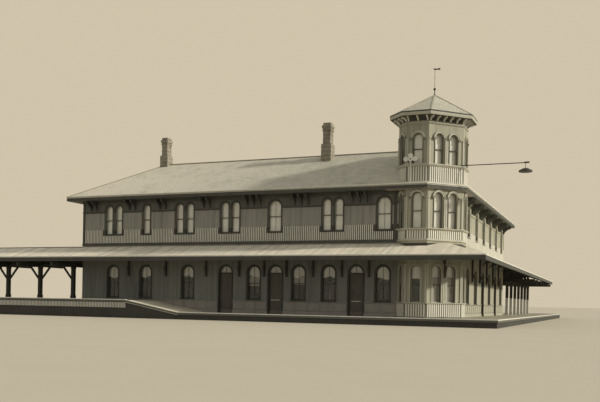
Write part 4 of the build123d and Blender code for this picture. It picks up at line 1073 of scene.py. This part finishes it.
# Lead caps along the ridges and hips of both roofs
def ridgeCaps():
    cap = {"main": (0.09, 0.02, 0.008), "tower": (0.045, 0.014, 0.006)}
    half = (wingDepth + eaveReach * 2) / 2
    middle, ridge = wingDepth / 2, roofEdge + half * roofSlope
    westHip = (-frontLength - eaveReach + half, middle, ridge)
    northHip = (-middle, sideLength + eaveReach - half, ridge)
    meet = (-middle, middle, ridge)
    ends = (-eaveReach, wingDepth + eaveReach)
    lines = [(westHip, meet), (northHip, meet)]
    lines += [((-frontLength - eaveReach, y, roofEdge), westHip) for y in ends]
    lines += [((-x, sideLength + eaveReach, roofEdge), northHip) for x in ends]
    piece = Piece("ridgeCaps", "leadCap", "slate")
    for start, end in lines:
        piece.bar(start, end, *cap["main"])
    piece.done(0.004)
    top = Vector((-towerAxis, towerAxis, towerRoofEdge + towerRoofRise))
    small = Piece("towerHipCaps", "leadCap", "slate")
    for x, y in octagon(towerEaveReach):
        low = Vector((x, y, towerRoofEdge))
        small.bar(low.lerp(top, 0.01), top.lerp(low, 0.03), *cap["tower"])
    small.done(0.003)


def towerEaveTrim():
    edge = octagon(towerEaveReach)
    crown, lip = proud((0.006, 0), (0.02, 0.06), (0.02, 0.085)), slab((-0.01, 0.016), (-0.022, 0.008))
    edging("towerEaveCrown", "towerTrim", "white_trim", 0, (edge, crown, towerEaveBottom, True))
    edging("towerRoofLip", "darkTrim", "dark_trim", 0, (edge, lip, towerRoofEdge, True))


eaveTrim()
ridgeCaps()
towerEaveTrim()
print("roofs edged")


# Canopies: a pale drip edge over a dark fascia with a bead below, mitred at the corner
def canopyTrim():
    west, north = -westEnd, northEnd
    edge = [(west, -canopyReach), (canopyReach, -canopyReach), (canopyReach, north)]
    drip = [(-0.02, -0.03), (0.014, -0.03), (0.018, 0.004), (-0.02, 0.012)]
    face, bead = slab((0, 0.012), (-0.165, -0.03)), slab((0.012, 0.02), (-0.165, -0.145))
    back = slab((0, 0.012), (-0.165, 0))
    westBack = [(-frontLength, canopyReach), (west, canopyReach), (west, -canopyReach)]
    northBack = [(canopyReach, north), (-canopyReach, north), (-canopyReach, sideLength)]
    edging("canopyDripEdge", "whiteTrim", "white_trim", 0, (edge, drip, canopyEdge))
    edging("canopyFascia", "darkTrim", "dark_trim", 0.002, (edge, face, canopyEdge),
           (edge, bead, canopyEdge), (westBack, back, canopyEdge), (northBack, back, canopyEdge))


# Battens over the joints of the canopy boards, running down the slope, and ridge boards on the sheds
def canopySeams():
    seam = {"pitch": 0.61, "first": 0.3, "size": (0.02, 0.007, 0.004), "inner": 0.05, "short": 0.02,
            "ridge": (0.09, 0.02, 0.004), "tower": (-towerEdge - 0.1, canopyReach - 0.2), "atTower": 0.35,
            "pastTower": 0.06, "least": 0.12, "clear": 0.05}
    piece = Piece("canopySeams", "canopyBoards", "canopy_boards")
    drop, inner, low = canopyTop - canopyEdge, seam["inner"], canopyEdge + 0.006

    def seams(farEnd, wallEnd, spot):
        # spot turns a place along the front and its y into a place on this side of the building
        for i in range(int((farEnd + canopyReach) / seam["pitch"])):
            x = -farEnd + seam["first"] + seam["pitch"] * i
            start = -inner if x < 0 else -x - inner
            if seam["tower"][0] < x < seam["tower"][1]:
                start = -seam["atTower"] if x < seam["atTower"] else -x - seam["pastTower"]
            if start < -canopyReach + seam["least"]:
                continue
            z = canopyTop + drop * start / canopyReach
            piece.bar(spot(x, start, z), spot(x, -canopyReach + seam["short"], low), *seam["size"])
            if x < -wallEnd - seam["clear"]:
                piece.bar(spot(x, inner, z), spot(x, canopyReach - seam["short"], low), *seam["size"])

    seams(westEnd, frontLength, lambda x, y, z: (x, y, z))
    seams(northEnd, sideLength, lambda x, y, z: (-y, -x, z))
    piece.bar((-westEnd, 0, canopyTop), (-frontLength, 0, canopyTop), *seam["ridge"])
    piece.bar((0, sideLength, canopyTop), (0, northEnd, canopyTop), *seam["ridge"])
    piece.done(0.002)


canopyTrim()
canopySeams()
print("canopies edged")


# Platforms: pale nosing boards, a kerb on the ramp, and pickets under the high platform
def platformTrim():
    nose = {"section": [(-0.09, 0), (-0.004, 0), (-0.004, 0.02), (-0.012, 0.026), (-0.09, 0.026)],
            "kerb": (0.04, 0.09, -0.03), "kerbIn": 0.024}
    nosing = Piece("platformNosing", "whiteTrim", "white_trim")
    nosing.path([(-rampFoot, -platformFront), (platformSide, -platformFront), (platformSide, northEnd),
                 (-canopyReach, northEnd)], nose["section"], deckTop)
    nosing.path([(-westEnd, canopyReach), (-westEnd, -platformFront), (-highDeckEast, -platformFront)],
                nose["section"], highDeckTop)
    y = -platformFront + nose["kerbIn"]
    nosing.bar((-highDeckEast, y, highDeckTop), (-rampFoot, y, deckTop), *nose["kerb"])
    nosing.done(0.003)
    picket = {"pitch": 0.062, "wide": 0.034, "out": 0.016, "inset": 0.03,
              "heights": (highDeckTop - 0.25, highDeckTop - 0.075)}
    skirt = Piece("platformPickets", "whiteTrim", "white_trim")
    y, west = -platformFront + picket["inset"], -westEnd + picket["inset"]
    for place, length in ((wallPlace((-westEnd, y), (-highDeckEast, y)), westEnd - highDeckEast),
                          (wallPlace((west, canopyReach), (west, y)), canopyReach + platformFront)):
        spacedStrips(skirt, place, 0, length, picket, picket["heights"])
    skirt.done(0.002)


# Plinths and caps of the sheds' posts
def shedTrim():
    post = {"first": 0.405, "wide": 0.125, "plinth": 0.14, "plinthOut": 0.014, "cap": above(1.50, 1.55),
            "capOut": 0.012}
    piece = Piece("shedPostTrim", "frameTimber", "frame_timber")
    westPosts = [(-frontLength - post["first"] - shedPitch * i, 0.0, highDeckTop) for i in range(4)]
    northPosts = [(0.0, sideLength + shedPitch * (i + 1), deckTop) for i in range(7)]
    for x, y, floor in westPosts + northPosts:
        for z, out in (((floor, floor + post["plinth"]), post["plinthOut"]), (post["cap"], post["capOut"])):
            wide = post["wide"] + out * 2
            piece.block(x, y, wide, wide, z)
    piece.done(0.004)


platformTrim()
shedTrim()
print("platforms and sheds trimmed")


# Chimney tops: corbelled courses, and a thin dark slab over each top that stands in for the open flue, soot
# and painted shade
def chimneyTops():
    stacks = [(-11.35, 2.15, 0.235, deckTop + 6.6), (-4.65, 1.85, 0.27, deckTop + 6.65)]
    course = {"high": 0.036, "deep": 0.3, "below": 0.3, "out": (0.012, 0.022, 0.012), "flue": 0.05}
    piece = Piece("chimneyCourses", "brickwork", "brick")
    flues = Piece("chimneyFlues", "darkTrim", "dark_trim")
    for x, y, wide, top in stacks:
        for step, out in enumerate(course["out"]):
            z = top - course["below"] + step * course["high"]
            piece.block(x, y, wide + out * 2, course["deep"] + out * 2, (z, z + course["high"]))
        rim = course["flue"] * 2
        flues.block(x, y, wide - rim, course["deep"] - rim, (top - 0.01, top + 0.0015))
    piece.done(0.002)
    flues.done()


# Signal pieces: clamps on the arm, and a dark boss on the pale board
def signalTrim():
    def disc(piece, place, axis, segments, radii, depth):
        turned = Matrix.Translation(place) @ Matrix.Rotation(math.pi / 2, 4, axis)
        bmesh.ops.create_cone(piece.bm, cap_ends=True, segments=segments, radius1=radii[0], radius2=radii[1],
                              depth=depth, matrix=turned)

    signal = {"arm": deckTop + 4.72, "clamps": (0.3, 0.95, 1.6), "board": deckTop + 4.85, "boss": 0.003}
    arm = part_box("signal_arm")
    middle = (arm[0].y + arm[1].y) / 2
    clamps = Piece("signalArmClamps", "ironwork", "iron")
    for x in signal["clamps"]:
        disc(clamps, (arm[0].x + x, middle, signal["arm"]), "Y", 14, (0.019, 0.019), 0.022)
    clamps.done(0.002)
    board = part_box("signal_target")
    middle = (board[0].x + board[1].x) / 2
    boss = Piece("signalBoardBoss", "ironwork", "iron")
    disc(boss, (middle, board[0].y - signal["boss"], signal["board"]), "X", 20, (0.024, 0.016), 0.006)
    boss.done(0.0015)


chimneyTops()
signalTrim()
print("chimneys and signal trimmed")


# Plain pale floor and backdrop, one low sun from the right and an even sky
def stageFloor():
    ground = {"half": 1500, "lit": (0.36, 0.33, 0.26), "seen": ((0.60, 0.545, 0.43), (0.64, 0.585, 0.465))}
    bm = bmesh.new()
    bmesh.ops.create_grid(bm, x_segments=1, y_segments=1, size=ground["half"])
    mesh = bpy.data.meshes.new("studioFloor")
    bm.to_mesh(mesh)
    bm.free()
    f = Finish("studioFloorPaint")
    pale = f.mix(f.noise(0.8, 4), *ground["seen"])
    f.surface(f.mix(f.seen(), ground["lit"], pale), 0.95, 0.1)
    mesh.materials.append(f.material)
    floor = linked("studioFloor", mesh)


def studioLight():
    light = {"sky": (0.985, 0.975, 0.925), "strength": 0.45, "seen": (0.63, 0.55, 0.41), "sun": 2.95,
             "sunColour": (1.0, 0.95, 0.84), "elevation": 24, "azimuth": 4, "soft": 4}
    world = bpy.data.worlds.new("studioSky")
    bpy.context.scene.world = world
    world.use_nodes = True
    sky = Graph(world.node_tree)
    lit, shown = (sky.add("ShaderNodeBackground", {"Color": colour, "Strength": strength})["Background"]
                  for colour, strength in ((light["sky"], light["strength"]), (light["seen"], 1)))
    blend = sky.add("ShaderNodeMixShader", {0: sky.seen(), 1: lit, 2: shown})["Shader"]
    sky.add("ShaderNodeOutputWorld", {"Surface": blend})
    lamp = bpy.data.lights.new("sun", "SUN")
    lamp.energy = light["sun"]
    lamp.angle = math.radians(light["soft"])
    lamp.color = light["sunColour"]
    high, around = math.radians(light["elevation"]), math.radians(light["azimuth"])
    toward = Vector((math.cos(high) * math.cos(around), math.cos(high) * math.sin(around), math.sin(high)))
    linked("sun", lamp).rotation_euler = toward.to_track_quat("Z", "Y").to_euler()


stageFloor()
studioLight()
print("stage lit")
